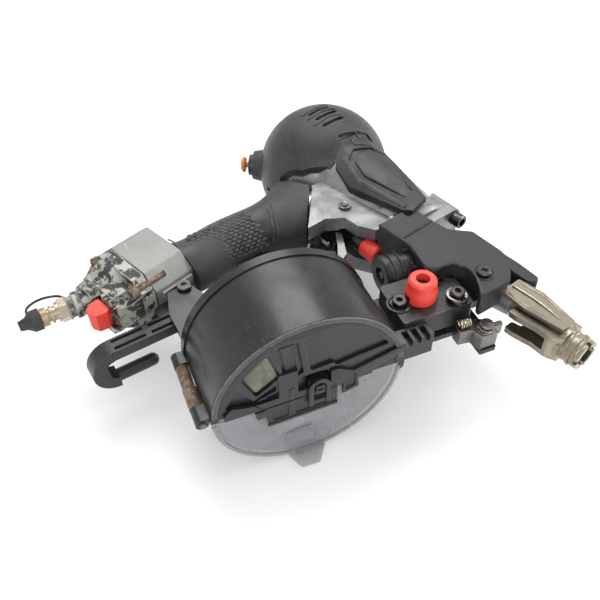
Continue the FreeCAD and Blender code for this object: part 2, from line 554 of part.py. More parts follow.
def make_trigger():
    x, y = value("trigger_x"), value("trigger_y")
    finger = padded([(x - 4.5, y + 1), (x - 1, y + 3), (x + 5, y + 2), (126.5, -41), (128.5, -47.5),
                     (147.5, -59), (150, -65), (145.5, -65.5), (137, -58.5), (125.5, -50.5),
                     (x - 4, y - 4)], "2 * trigger_half", "XY", (0, 0, "-trigger_half"), 0.8)
    hollow = padded([(x - 8, y - 9), (x - 8, y - 1), (x + 3, y - 3), (124.5, -42.5), (126.5, -48.5),
                     (140, -56.5), (134, -60)], 11, "XY", (0, 0, -5.5))
    pin_hole = tube(-20, 20, 2.6, 0, "Z", TRIGGER_SPOT)
    finish("trigger", cut(finger, hollow, pin_hole))
    head = tube("cheek_half + 0.1", "cheek_half + 2.2", 4.6, 0, "Z", TRIGGER_SPOT)
    stud = tube("-cheek_half - 1.6", "cheek_half + 3.4", 2.5, 0, "Z", TRIGGER_SPOT)
    tail = tube("-cheek_half - 2.2", "-cheek_half - 0.1", 3.8, 0, "Z", TRIGGER_SPOT)
    finish("trigger_pin", joined(stud, head, tail))
    finish("trigger_lever", padded([(123, -44.5), (124.4, -46.5), (131.2, -55.4), (130, -57), (122, -47)],
                                   7, "XY", (0, 0, -3.5)))
    finish("valve_bush", turned([(101, 2.2), (101, 9), (106, 9), (106, 7.6), (107.5, 7.6), (107.5, 9),
                                 (110, 9), (110, 7.6), (111.5, 7.6), (111.5, 9), (114, 9), (116, 7),
                                 (116, 2.2)], "X", VALVE_SPOT))
    finish("valve_plunger", turned([(103, 0), (103, 2.1), (124.6, 2.1), (125.6, 1.1), (125.6, 0)], "X",
                                   VALVE_SPOT))


def make_adjuster():
    """The push rod that joins the contact foot to the trigger, with its depth adjuster."""
    rod = tube(133.5, 168, 2.4, 0, "X", ADJUSTER_SPOT)
    housing = turned([(136, 0), (136, "knob_radius - 2"), (137.5, "knob_radius - 0.4"),
                      (145, "knob_radius - 0.4"), (145, 0)], "X", ADJUSTER_SPOT)
    link = box((164, "adjust_y - 3", "adjust_z - 3"), (168, -30.5, "adjust_z + 3"))
    riser = box((164, -36.4, "adjust_z - 3"), (168, -30.5, 26.4))
    plate = padded([(164, -36.4), (169, -36.4), (206, -14), (243, -14), (243, -3), (205, -3),
                    (196.5, -11.5), (164, -30.5)], 2, "XY", (0, 0, 24.4))
    drop = box((239, -8, 11.4), (243, -3, 26.4))
    finish("push_rod", joined(rod, housing, link, riser, plate, drop))
    finish("depth_knob", turned([(145.2, 2.5), (145.2, "knob_radius - 0.6"), (146.2, "knob_radius"),
                                 (158.5, "knob_radius"), (159.8, "knob_radius - 1"), (159.8, 2.5)], "X",
                                ADJUSTER_SPOT))
    finish("push_spring", tube(194, 238.6, 3.2, 2.2, "X", (0, -7, 17)))


# ---------------------------------------------------------------- nose

def make_nose():
    foot = box(("body_end_x + 0.05", "-flange_half", "-flange_half"), ("body_end_x + 8", "flange_half",
                                                                       "flange_half"), 5, "YZ")
    bosses = [tube("body_end_x + 0.05", "body_end_x + 8", "bolt_boss_radius", 0, "X",
                   spot) for spot in NOSE_BOLT_SPOTS]
    holes = [tube(160, 190, 2.7, 0, "X", spot) for spot in NOSE_BOLT_SPOTS]
    block = box((172, "-nose_half", "-nose_half"), ("nose_end_x - 14", "nose_half", "nose_half"), 2.5,
                "YZ")
    taper = turned([("nose_end_x - 14.5", 0), ("nose_end_x - 14.5", "nose_half"),
                    ("nose_end_x", "nose_tip_radius + 1.7"), ("nose_end_x", "nose_tip_radius"),
                    ("nose_tip_x", "nose_tip_radius"), ("nose_tip_x", 0)])
    bore = tube(150, 300, "nail_bore")
    channel = box(("guide_x - 12", 100, "-channel_half + 0.3"), ("guide_end_x - 1", 137,
                                                                 "channel_half - 0.3"))
    channel.Placement = FreeCAD.Placement(FreeCAD.Vector(), FreeCAD.Rotation(FreeCAD.Vector(0, 0, 1),
                                                                             value("drum_turn")))
    place(channel, "Placement", ("drum_x", "drum_y", 0))
    finish("nose_guide", cut(joined(foot, block, taper, *bosses), bore, channel, *holes))
    finish("nose_bolts", grouped(*[bolt("body_end_x - 8", 16.2, 8, spot, "X", 2.5, 5, 2.8)
                                   for spot in NOSE_BOLT_SPOTS]))


def make_nose_guard():
    """The long deflector on the front of the nose."""
    shape = padded([(186, 11), (186, 15), (197, 19.5), (234, 20.5), (250, 19.5), (253, 16), (247, 11.5),
                    (214, 10.8)], 26, "XY", (0, 0, -12), 1.5)
    inside = padded([(180, 5), (180, 12.6), (197, 16.8), (238, 17.6), (262, 13), (262, 5)], 20.4, "XY",
                    (0, 0, -9.2))
    web = box((188, "nose_half + 0.05", -7), (197, 17, 7))
    screw_way = tube(5, 30, 2.3, 0, "Y", GUARD_SCREW_SPOT)
    head_way = tube(14.9, 30, 4.2, 0, "Y", GUARD_SCREW_SPOT)
    finish("nose_guard", cut(joined(cut(shape, inside), web), screw_way, head_way))


def make_contact_foot():
    barrel = tube(282.5, "foot_end_x", "foot_radius", "foot_bore")
    flange = tube(290, 293.5, "foot_radius + 2", "foot_bore")
    ring = tube(299, 301, "foot_radius + 1", "foot_bore")
    arms = padded([(256, -15.5), (262, -15.5), (276, -12.8), (286, -13), (294, -9.8), (294, 9.8),
                   (284, 9.6), (273, 6), (264, -2), (256, -9)], 19, "XY", (0, 0, -9.5), 0.8)
    between = box((236, -40, -5.2), (283.5, 40, 5.2))
    bridge = padded([(243.2, -8.5), (262, -10), (290, -6), (290, 6), (262, 11), (243.2, 8.5)], 2.6, "XY",
                    (0, 0, 11.4), 1)
    saddle = box((272, -6, 6), (292, 6, 12), 2)
    mouth = tube(200, 310, "foot_bore")
    block_room = box((200, "-nose_half - 0.4", "-nose_half - 0.4"), (248.5, "nose_half + 0.4",
                                                                     "nose_half + 0.4"))
    crown = [box(("foot_end_x - 2.4", -20, -1.4), ("foot_end_x + 5", 20, 1.4)),
             box(("foot_end_x - 2.4", -1.4, -20), ("foot_end_x + 5", 1.4, 20))]
    cone_room = turned([(200, 0), (200, 10.9), (248.5, 10.9), (262.6, 8.7), (262.6, 0)])
    finish("contact_foot", cut(joined(cut(arms, between), barrel, flange, ring, bridge, saddle), mouth,
                               cone_room, block_room, *crown))


# ---------------------------------------------------------------- nail guide, door and feeder

def make_nail_guide():
    low, high = "channel_half", "guide_top"
    plate = box(("guide_x - 8", "guide_y", low), ("guide_end_x", "guide_end_y", "channel_half + 3"))
    deck = box(("guide_x + 1", "guide_y + 5", low), ("guide_end_x", "guide_end_y", high), 2)
    tongue = box(("guide_x", "guide_end_y - 2", low), ("guide_end_x - 8", 132, "channel_half + 6"))
    post = tube(high, "guide_top + 11", 4.2, 0, "Z", ("cap_t", "cap_s", 0))
    taps = [tube(6, 40, 2.25, 0, "Z", spot) for spot in GUIDE_BOLT_SPOTS]
    feed_clear = tube(60, 140, "feed_radius + 2.9", 0, "Y", ("feed_x", 0, "feed_z"))
    pawl_slot = box((14, 90, 0), (24, 124, 30))
    hanger = box((9, 50, -9.4), (39, 67, "-channel_half - 0.3"))
    bridge = box((9, "guide_y - 0.2", -9.4), (12, "guide_y + 2", "channel_half + 2"))
    knuckle = tube(9, 39, "door_eye_radius", 0, "X", DOOR_SPOT)
    pin_hole = tube(-10, 60, "door_pin_radius + 0.05", 0, "X", DOOR_SPOT)
    drum_room = tube(-10, 80, "drum_radius + 0.3")
    fixed_eye = cut(joined(hanger, bridge, knuckle), pin_hole, drum_room)
    shape = cut(joined(plate, deck, tongue, post), feed_clear, pawl_slot, *taps)
    finish("nail_guide", joined(shape, fixed_eye), "magazine")
    base = "guide_top + 0.3"
    skirt = turned([(base, 4.5), (base, 10.2), (f"{base} + 8", 10.2), (f"{base} + 9", 9.6),
                    (f"{base} + 14.5", 9.2), (f"{base} + 16", 7.8), (f"{base} + 16", 4.5)], "Z",
                   ("cap_t", "cap_s", 0))
    notch = box(("cap_t - 3", "cap_s - 14", 15), ("cap_t + 3", "cap_s", "guide_top + 5"))
    finish("nose_cap", cut(skirt, notch), "magazine")


def make_door():
    low = "-channel_half"
    plate = box(("guide_x - 8", "guide_y + 2", "-channel_half - 4"), ("guide_end_x", "guide_end_y + 10",
                                                                      low), 1)
    ribs = [box((x, "guide_y + 8", "-channel_half - 8"), (x + 3, "guide_end_y + 6",
                                                          "-channel_half - 3.9")) for x in (10, 22, 34)]
    eyes = [tube(start, stop, "door_eye_radius", 0, "X", DOOR_SPOT)
            for start, stop in (("guide_x - 5.4", 8.7), (39.3, "guide_end_x"))]
    knuckle_room = box((8.7, 50, -20), (39.3, "guide_y + 8.6", "-channel_half - 0.05"))
    pin_hole = tube(-10, 60, "door_pin_radius + 0.05", 0, "X", DOOR_SPOT)
    latch_shelf = box((44, 115, -10.6), (67, 127, -7), 1)
    latch_pin_hole = tube(-20, 20, 2.05, 0, "Z", LATCH_SPOT)
    finish("guide_door", cut(joined(plate, *ribs, *eyes, latch_shelf), knuckle_room, pin_hole,
                             latch_pin_hole), "magazine")
    finish("door_hinge_pin", tube(3, "guide_end_x + 1", "door_pin_radius", 0, "X", DOOR_SPOT), "magazine")
    body = padded([(49.4, 104), (57, 104), (58, 112), (66, 115), (66, 127), (55, 127), (49.4, 119)], 12,
                  "XY", (0, 0, -6.6), 1)
    ear = box((57, 125, -4), (60.5, 134, 5), 1)
    hub = tube(-6.6, 8, 5.5, 0, "Z", LATCH_SPOT)
    latch_hole = tube(-20, 30, 2.1, 0, "Z", LATCH_SPOT)
    finish("door_latch", cut(joined(body, hub, ear), latch_hole), "magazine")
    finish("latch_pin", joined(tube(-10.4, 9, 2, 0, "Z", LATCH_SPOT), tube(8.3, 10.4, 4.4, 0, "Z",
                                                                           LATCH_SPOT)), "magazine")
    finish("latch_spring", tube(104.5, 113, 3.4, 2, "Y", (53.5, 0, 9.2)), "magazine")


def make_feeder():
    at = ("feed_x", 0, "feed_z")
    finish("feed_cylinder", turned([("feed_y + 13", 8.2), ("feed_y + 13", "feed_radius"),
                                    (110, "feed_radius"), (110, 0), (108, 0), (108, 8.2)], "Y", at),
           "magazine")
    finish("feed_ring_cap", turned([("feed_y", 6.2), ("feed_y", 12.6), ("feed_y + 1", 13.6),
                                    ("feed_y + 4.5", 13.6), ("feed_y + 5", 12.6), ("feed_y + 6", 12.6),
                                    ("feed_y + 6.5", 13.6), ("feed_y + 10", 13.6),
                                    ("feed_y + 10.5", 12.6), ("feed_y + 11.5", 12.6),
                                    ("feed_y + 12", 13.6), ("feed_y + 12.9", 13.6), ("feed_y + 12.9", 8),
                                    ("feed_y + 4", 8), ("feed_y + 4", 6.2)], "Y", at), "magazine")
    finish("feed_piston", turned([("feed_y + 1", 0), ("feed_y + 1", 2.6), (100, 2.6), (100, 8.05),
                                  (105, 8.05), (105, 0)], "Y", at), "magazine")
    finish("feed_spring", tube("feed_y + 4.4", 99.6, 6.4, 4.6, "Y", at), "magazine")
    finish("feed_pawl", padded([(15, 99), (23, 99), (23, 111), (15, 111)], 12, "XY", (0, 0, 4), 1.2),
           "magazine")


def make_nose_cover():
    plan = [(157, -40), (178, -38.5), (188, -39), (209, -46), (213, -43), (216, -29), (224, -25),
            (234, -26), (247, -37), (249, -12), (236, 3), (226, 5), (202, 5), (190, -6), (175, -8),
            (157, -8)]
    shell = padded(plan, 37, "XY", (0, 0, -7), 1.5)
    inside = padded([(160, -37.2), (178, -35.6), (189, -36.2), (207, -42), (210.4, -40), (213.4, -27.4),
                     (223, -21.8), (236, -23), (244.4, -31), (246, -12), (235, 0.2), (202, 2),
                     (190, -9.4), (175, -11), (160, -11)], 34.2, "XY", (0, 0, -7.5))
    boss = tube(20, 27, 4.4, 0, "Z", COVER_SCREW_SPOT)
    barrel = tube(140, 167.5, "muzzle_radius + 0.8")
    protector = tube(140, 163.5, 34.8)
    foot = box((150, "-flange_half - 0.6", "-flange_half - 0.6"), ("body_end_x + 9", 40,
                                                                   "flange_half + 0.6"))
    feeder = carried(tube(60, 150, "feed_radius + 2.6", 0, "Y", ("feed_x", 0, "feed_z")), "magazine")
    guide = carried(box(("guide_x - 9", 60, -12), ("guide_end_x + 0.6", 150, "guide_top + 0.6")),
                    "magazine")
    cap_room = carried(tube(15, 60, 10.9, 0, "Z", ("cap_t", "cap_s", 0)), "magazine")
    bolt_room = carried(tube(15, 60, 7.6, 0, "Z", GUIDE_BOLT_SPOTS[1]), "magazine")
    latch_room = carried(box((45, 100, -12), (70, 140, 12)), "magazine")
    adjuster = box((130, -60, -20), (169, -29.5, "adjust_z + 9"))
    riser_way = box((150, -38.2, -20), (169, -29, 26.7))
    foot_way = box((225, -17, -20), (262, 12, 27))
    nose = box((150, -12, -12), (262, 12, "nose_half + 0.4"))
    hole = tube(0, 40, 2.3, 0, "Z", COVER_SCREW_SPOT)
    finish("nose_cover", cut(joined(cut(shell, inside), boss), barrel, protector, foot, feeder, guide,
                             cap_room, bolt_room, latch_room, adjuster, riser_way, foot_way, nose, hole))


def make_case_screws():
    """The single screws of the covers, the nail guide, the drum's bracket and the hook."""
    cover = bolt(21, 9.2, 2.4, COVER_SCREW_SPOT, "Z", 2.2, 4.8, 2.2)
    guard = bolt("nose_half + 0.1", 4.6, 3, GUARD_SCREW_SPOT, "Y", 2.2, 3.9, 1.8)
    bracket = carried(bolt("lug_drop - 7", 13.5, 2.6, ("lug_t", "lug_s", 0), "Z", 2.2, 5, 2.2), "tail")
    hook = carried(bolt(16, 21.2, 3, HOOK_SCREW_SPOT, "Y", 2.3, 4.5, 2.1), "tail")
    short_guide = carried(bolt(8, 12.1, 4, GUIDE_BOLT_SPOTS[0], "Z", 2.2, 4.6, 2.2), "magazine")
    washer = tube("guide_top + 0.05", "guide_top + 2.9", 7, 2.1, "Z", GUIDE_BOLT_SPOTS[1])
    long_guide = carried(joined(bolt(8, 15, 4, GUIDE_BOLT_SPOTS[1], "Z", 2.2, 4.6, 2.2), washer),
                         "magazine")
    finish("case_screws", grouped(cover, guard, bracket, hook, short_guide, long_guide))


# ---------------------------------------------------------------- magazine

def half_ring(start, stop, outer, inner, side):
    """Half of a tube about the drum's axis, above or below the split."""
    low, high = ("split_gap / 2", 90) if side > 0 else (-90, "-split_gap / 2")
    return common(tube(start, stop, outer, inner), box((-20, -90, low), (90, 90, high)))


def make_magazine():
    end = "drum_length"
    lid = tube(0, 3, "band_radius")
    band = tube(0, 6, "band_radius", "drum_radius - drum_wall - 0.1")
    wall = half_ring(3, end, "drum_radius", "drum_radius - drum_wall", 1)
    floor = half_ring("drum_length - 2.5", end, "drum_radius", 0, 1)
    arm = padded([(48.5, 55), (48.5, 83), (59.5, 83), (59.5, 40), (55.5, 40), (55.5, 55)], 16, "XY",
                 (0, 0, 0.4), 1)
    arm_notches = [box((50.5, y, 12), (62, y + 4, 20)) for y in (64, 70, 76)]
    mouth = box((4, 52, "-channel_half"), (48.4, 90, "channel_half"))
    inner_room = tube(3, "drum_length - 2.5", "drum_radius - drum_wall")
    knuckles = [tube(start, stop, "hinge_radius", 0, "X", (0, "hinge_y", 0)) for start,
                stop in HINGE_STRETCHES]
    leaves = [box((start, "hinge_y", 0.3), (stop, "-drum_radius + 4", 4.2)) for start,
              stop in HINGE_STRETCHES]
    pin_hole = tube(-5, 70, "pin_radius + 0.05", 0, "X", (0, "hinge_y", 0))
    ledges = [box(("drum_length - 0.1", -50, 0.4), ("drum_length + 3", 40.5, 6)),
              box(("drum_length - 0.1", -20, 6), ("drum_length + 3", -8, 26)),
              box(("drum_length - 0.1", 16, 6), ("drum_length + 3", 40, 9))]
    rim = half_ring("drum_length - 0.1", "drum_length + 2", "drum_radius", "drum_radius - 5", 1)
    bracket = carried(cut(padded([(101, -161), (101, -177), (118, -186), (147, -191.5), (152, -171),
                                  (124, -157)], 5.8, "XY", (0, 0, 2)), carried(tube(-20, 20, 2.4, 0, "Z",
                                                                                    ("lug_t", "lug_s",
                                                                                     0)), "tail")),
                      "tool", "magazine")
    post = turned([(2.8, 0), (2.8, 7), (5.6, 7), (5.6, 4), (52, 4), (52, 0)])
    latch_seat = box((53, -2, 3), (70, 12, 15.6))
    catch_way = box((57, 0.4, -3.3), (70, 9.6, 8))
    shape = cut(joined(lid, band, wall, floor, cut(cut(arm, *arm_notches), inner_room), *knuckles,
                       *leaves, *ledges, rim, bracket, post), pin_hole, latch_seat, catch_way, mouth)
    finish("magazine_body", shape, "magazine")
    window = half_ring(6.4, end, "drum_radius", "drum_radius - drum_wall", -1)
    base = half_ring("drum_length - 2.5", end, "drum_radius", 0, -1)
    tab = box(("drum_length - 0.1", -24, -30), ("drum_length + 1.2", 20, -4))
    lip = padded([("drum_length - 2", -12), ("drum_length + 4", -9), ("drum_length + 4", 9),
                  ("drum_length - 2", 12)], 2, "XY", (0, 0, "-drum_radius + 1.2"))
    knuckle = tube(30, 45.6, "hinge_radius", 0, "X", (0, "hinge_y", 0))
    leaf = box((30, "hinge_y", -4.2), (45.6, "-drum_radius + 4", -0.5))
    catch = box(("drum_length - 2.5", -1.6, -3), ("drum_length + 3", 11.6, -0.4))
    shape = cut(joined(window, base, tab, lip, knuckle, leaf, catch), pin_hole, mouth, catch_way)
    finish("magazine_cover", shape, "magazine")
    finish("magazine_hinge_pin", tube(0.5, 59, "pin_radius", 0, "X", (0, "hinge_y", 0)), "magazine")
    sleeves = [cut(tube(start, stop, "hinge_radius - 0.2", 0, "X", (0, "hinge_y", 0)), pin_hole)
               for start, stop in ((12.3, 20.6), (21, 29.7))]
    finish("hinge_sleeves", grouped(*sleeves), "magazine")
    finish("magazine_latch", joined(box((53.4, -1.4, 3.4), (61, 11.4, 11.4), 1),
                                    box((57.4, 1, -2.7), (61, 9, 4))), "magazine")
    finish("nail_tray", joined(tube(40, 42, 50, 4.3), tube(32, 42, 8, 4.3)), "magazine")


for maker in (make_head_cover, make_cylinder_head, make_head_valve, make_head_valve_spring,
              make_head_bolts, make_duster, make_body_housing, make_cylinder_parts, make_side_protectors,
              make_handle_housing, make_grip, make_tail_parts, make_air_plug, make_strap, make_hook,
              make_trigger, make_adjuster, make_nose, make_nose_guard, make_contact_foot, make_nail_guide,
              make_door, make_feeder, make_nose_cover, make_case_screws, make_magazine):
    maker()

doc.recompute()
failed = [item.Label for item in doc.Objects if "Invalid" in item.State or "Error" in item.State]
if failed:
    raise RuntimeError(f"features failed: {failed}")
for part in PARTS:
    if part.Shape.isNull() or not part.Shape.isValid():
        raise RuntimeError(f"{part.Label} has no valid shape")
os.makedirs("parts", exist_ok=True)
for part in PARTS:
    part.Shape.exportStep(f"parts/{part.Label}.step")
    print(f"{part.Label}: {len(part.Shape.Solids)} solids, {part.Shape.Volume:.0f} mm3")
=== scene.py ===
"""Looks of the coil nailer: finishes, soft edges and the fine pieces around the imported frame."""
import json
import math

import bpy
from mathutils import Matrix, Vector

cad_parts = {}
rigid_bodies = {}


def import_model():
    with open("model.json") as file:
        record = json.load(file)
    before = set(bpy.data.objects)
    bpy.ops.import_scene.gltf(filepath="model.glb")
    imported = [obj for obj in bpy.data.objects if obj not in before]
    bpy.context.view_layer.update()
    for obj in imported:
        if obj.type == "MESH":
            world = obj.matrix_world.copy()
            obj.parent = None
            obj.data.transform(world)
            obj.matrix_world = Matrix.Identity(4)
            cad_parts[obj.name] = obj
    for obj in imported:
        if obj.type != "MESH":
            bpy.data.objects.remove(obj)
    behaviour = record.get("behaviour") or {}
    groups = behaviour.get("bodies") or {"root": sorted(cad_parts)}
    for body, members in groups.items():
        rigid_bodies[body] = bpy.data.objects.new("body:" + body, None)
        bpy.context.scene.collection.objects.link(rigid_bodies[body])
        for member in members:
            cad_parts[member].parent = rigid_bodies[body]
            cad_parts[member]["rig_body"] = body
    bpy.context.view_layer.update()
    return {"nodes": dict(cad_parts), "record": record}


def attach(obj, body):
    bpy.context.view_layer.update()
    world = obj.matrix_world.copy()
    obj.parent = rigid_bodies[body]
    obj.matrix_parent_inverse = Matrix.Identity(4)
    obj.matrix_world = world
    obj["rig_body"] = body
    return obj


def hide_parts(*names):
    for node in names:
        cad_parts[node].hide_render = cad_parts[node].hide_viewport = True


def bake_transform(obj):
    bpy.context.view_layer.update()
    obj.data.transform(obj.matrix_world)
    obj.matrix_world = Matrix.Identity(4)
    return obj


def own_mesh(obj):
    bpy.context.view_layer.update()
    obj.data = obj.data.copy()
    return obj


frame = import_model()
NODES = frame["nodes"]
MM = 0.001


def mount(name):
    """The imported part's mount of that name."""
    return [item for item in frame["record"]["mounts"] if item["name"] == name][0]


# The drive axis runs along +X; the foot's bore is this far from the head's top.
OUTLET = Vector(mount("nail_outlet")["pos_m"])
OUTLET_FROM_TOP = 293.3 * MM
HEAD_TOP = OUTLET - Vector((OUTLET_FROM_TOP, 0, 0))


def tool(x, y, z):
    """A point given in millimetres from the head's top on the drive axis."""
    return HEAD_TOP + Vector((x, y, z)) * MM


# ------------------------------------------------------------------ shader groups

def add_node(tree, kind, **values):
    """A node with its properties set by name and its inputs by 'in_' and the socket's name."""
    node = tree.nodes.new(kind)
    for key, amount in values.items():
        if key.startswith("in_"):
            node.inputs[key[3:].replace("_", " ")].default_value = amount
        else:
            setattr(node, key, amount)
    return node


def new_group(name, inputs, output):
    """A group that takes the named numbers and gives one value."""
    tree = bpy.data.node_groups.new(name, "ShaderNodeTree")
    for socket, start in inputs.items():
        made = tree.interface.new_socket(socket, in_out="INPUT", socket_type="NodeSocketFloat")
        made.default_value = start
    tree.interface.new_socket(output, in_out="OUTPUT", socket_type="NodeSocketFloat")
    return tree, tree.nodes.new("NodeGroupInput"), tree.nodes.new("NodeGroupOutput")


def ranged(tree, source, low, high, to_low=0.0, to_high=1.0):
    """The source mapped from one range of values to another, clamped."""
    node = add_node(tree, "ShaderNodeMapRange", interpolation_type="SMOOTHSTEP")
    node.inputs["From Min"].default_value = low
    node.inputs["From Max"].default_value = high
    node.inputs["To Min"].default_value = to_low
    node.inputs["To Max"].default_value = to_high
    tree.links.new(source, node.inputs["Value"])
    return node.outputs["Result"]


def worked(tree, operation, *sources):
    """The result of a sum on numbers and other nodes' outputs."""
    node = add_node(tree, "ShaderNodeMath", operation=operation, use_clamp=operation != "DOT_PRODUCT")
    for index, source in enumerate(sources):
        if isinstance(source, (int, float)):
            node.inputs[index].default_value = source
        else:
            tree.links.new(source, node.inputs[index])
    return node.outputs[0]


def make_grain_group():
    """Fine moulded or cast grain, with its size and contrast."""
    tree, given, out = new_group("grain", {"Scale": 900.0}, "Height")
    place = add_node(tree, "ShaderNodeTexCoord")
    noise = add_node(tree, "ShaderNodeTexNoise", in_Detail=4.0, in_Roughness=0.62)
    tree.links.new(place.outputs["Object"], noise.inputs["Vector"])
    tree.links.new(given.outputs["Scale"], noise.inputs["Scale"])
    tree.links.new(noise.outputs["Fac"], out.inputs["Height"])
    return tree


def make_cloud_group():
    """Slow changes over the surface: dust, polish and stains."""
    tree, given, out = new_group("clouds", {"Scale": 40.0, "Low": 0.4, "High": 0.6}, "Mask")
    place = add_node(tree, "ShaderNodeTexCoord")
    noise = add_node(tree, "ShaderNodeTexNoise", in_Detail=8.0, in_Roughness=0.65, in_Distortion=0.4)
    tree.links.new(place.outputs["Object"], noise.inputs["Vector"])
    tree.links.new(given.outputs["Scale"], noise.inputs["Scale"])
    spread = add_node(tree, "ShaderNodeMapRange", interpolation_type="SMOOTHSTEP")
    tree.links.new(noise.outputs["Fac"], spread.inputs["Value"])
    tree.links.new(given.outputs["Low"], spread.inputs["From Min"])
    tree.links.new(given.outputs["High"], spread.inputs["From Max"])
    tree.links.new(spread.outputs["Result"], out.inputs["Mask"])
    return tree


def make_edge_wear_group():
    """Where an outer or inner edge is close, broken up by noise."""
    tree, given, out = new_group("edge_wear", {"Width": 0.001, "Amount": 0.5}, "Mask")
    rounded = add_node(tree, "ShaderNodeBevel", samples=4)
    tree.links.new(given.outputs["Width"], rounded.inputs["Radius"])
    flat = add_node(tree, "ShaderNodeNewGeometry")
    turn = add_node(tree, "ShaderNodeVectorMath", operation="DOT_PRODUCT")
    tree.links.new(rounded.outputs["Normal"], turn.inputs[0])
    tree.links.new(flat.outputs["Normal"], turn.inputs[1])
    near = ranged(tree, turn.outputs["Value"], 0.985, 0.86)
    place = add_node(tree, "ShaderNodeTexCoord")
    noise = add_node(tree, "ShaderNodeTexNoise", in_Scale=170.0, in_Detail=6.0, in_Roughness=0.7)
    tree.links.new(place.outputs["Object"], noise.inputs["Vector"])
    low = worked(tree, "SUBTRACT", 0.78, worked(tree, "MULTIPLY", given.outputs["Amount"], 0.5))
    broken = add_node(tree, "ShaderNodeMapRange", interpolation_type="SMOOTHSTEP")
    tree.links.new(noise.outputs["Fac"], broken.inputs["Value"])
    tree.links.new(low, broken.inputs["From Min"])
    tree.links.new(worked(tree, "ADD", low, 0.1), broken.inputs["From Max"])
    tree.links.new(worked(tree, "MULTIPLY", near, broken.outputs["Result"]), out.inputs["Mask"])
    return tree


def make_scratch_group():
    """Thin scratches in three directions."""
    tree, given, out = new_group("scratches", {"Scale": 1.0, "Amount": 0.5}, "Mask")
    place = add_node(tree, "ShaderNodeTexCoord")
    found = []
    for turn, stretch in (((0.3, 0.2, 0.5), (90, 2600, 260)), ((1.1, 0.7, 2.0), (75, 2200, 220)),
                          ((0.2, 1.9, 1.2), (110, 3000, 300))):
        mapping = add_node(tree, "ShaderNodeMapping", in_Rotation=turn, in_Scale=stretch)
        tree.links.new(place.outputs["Object"], mapping.inputs["Vector"])
        noise = add_node(tree, "ShaderNodeTexNoise", in_Detail=2.0, in_Roughness=0.5)
        tree.links.new(mapping.outputs["Vector"], noise.inputs["Vector"])
        tree.links.new(given.outputs["Scale"], noise.inputs["Scale"])
        found.append(ranged(tree, noise.outputs["Fac"], 0.67, 0.73))
    lines = worked(tree, "MAXIMUM", worked(tree, "MAXIMUM", found[0], found[1]), found[2])
    areas = add_node(tree, "ShaderNodeTexNoise", in_Scale=38.0, in_Detail=3.0)
    tree.links.new(place.outputs["Object"], areas.inputs["Vector"])
    scuffed = worked(tree, "MULTIPLY", lines, ranged(tree, areas.outputs["Fac"], 0.42, 0.62))
    tree.links.new(worked(tree, "MULTIPLY", scuffed, given.outputs["Amount"]), out.inputs["Mask"])
    return tree


GRAIN = make_grain_group()
CLOUDS = make_cloud_group()
EDGE_WEAR = make_edge_wear_group()
SCRATCHES = make_scratch_group()


def use_group(tree, group, **values):
    """A group placed in a material with its own values."""
    node = add_node(tree, "ShaderNodeGroup", node_tree=group)
    for key, amount in values.items():
        node.inputs[key].default_value = amount
    return node.outputs[0]


def mixed(tree, mask, first, second):
    """A colour that goes from the first to the second with the mask."""
    node = add_node(tree, "ShaderNodeMix", data_type="RGBA")
    tree.links.new(mask, node.inputs["Factor"])
    for socket, source in ((node.inputs[6], first), (node.inputs[7], second)):
        if isinstance(source, tuple):
            socket.default_value = (*source, 1.0)
        else:
            tree.links.new(source, socket)
    return node.outputs[2]


def finish_of(name, base, dusty, worn, rough=(0.45, 0.65), worn_rough=0.4, metallic=0.0, worn_metallic=None,
              clouds=(45.0, 0.42, 0.66), chips=(120.0, 0.7, 0.74), edge=(0.0012, 0.5), scratch=(1.0, 0.3),
              grain=(900.0, 0.25), coat=0.0, specular=0.5):
    """A used surface: its own colour, a dusty or polished second one, and what shows where it is worn."""
    material = bpy.data.materials.new(name)
    material.use_nodes = True
    tree = material.node_tree
    shader = tree.nodes["Principled BSDF"]
    shader.inputs["Coat Weight"].default_value = coat
    shader.inputs["Coat Roughness"].default_value = 0.12
    shader.inputs["Specular IOR Level"].default_value = specular
    cloud = use_group(tree, CLOUDS, Scale=clouds[0], Low=clouds[1], High=clouds[2])
    chip = use_group(tree, CLOUDS, Scale=chips[0], Low=chips[1], High=chips[2])
    edges = use_group(tree, EDGE_WEAR, Width=edge[0], Amount=edge[1])
    lines = use_group(tree, SCRATCHES, Scale=scratch[0], Amount=scratch[1])
    wear = worked(tree, "MAXIMUM", worked(tree, "MAXIMUM", chip, edges), lines)
    colour = mixed(tree, wear, mixed(tree, cloud, base, dusty), worn)
    tree.links.new(colour, shader.inputs["Base Color"])
    own = ranged(tree, cloud, 0.0, 1.0, rough[0], rough[1])
    step = worked(tree, "MULTIPLY", worked(tree, "SUBTRACT", 1.0, wear), own)
    total = worked(tree, "ADD", step, worked(tree, "MULTIPLY", wear, worn_rough))
    tree.links.new(total, shader.inputs["Roughness"])
    if worn_metallic is None or worn_metallic == metallic:
        shader.inputs["Metallic"].default_value = metallic
    else:
        tree.links.new(ranged(tree, wear, 0.2, 0.8, metallic, worn_metallic), shader.inputs["Metallic"])
    height = use_group(tree, GRAIN, Scale=grain[0])
    level = worked(tree, "SUBTRACT", height, worked(tree, "MULTIPLY", wear, 0.35))
    bump = add_node(tree, "ShaderNodeBump", in_Strength=grain[1], in_Distance=0.0004)
    tree.links.new(level, bump.inputs["Height"])
    tree.links.new(bump.outputs["Normal"], shader.inputs["Normal"])
    return material


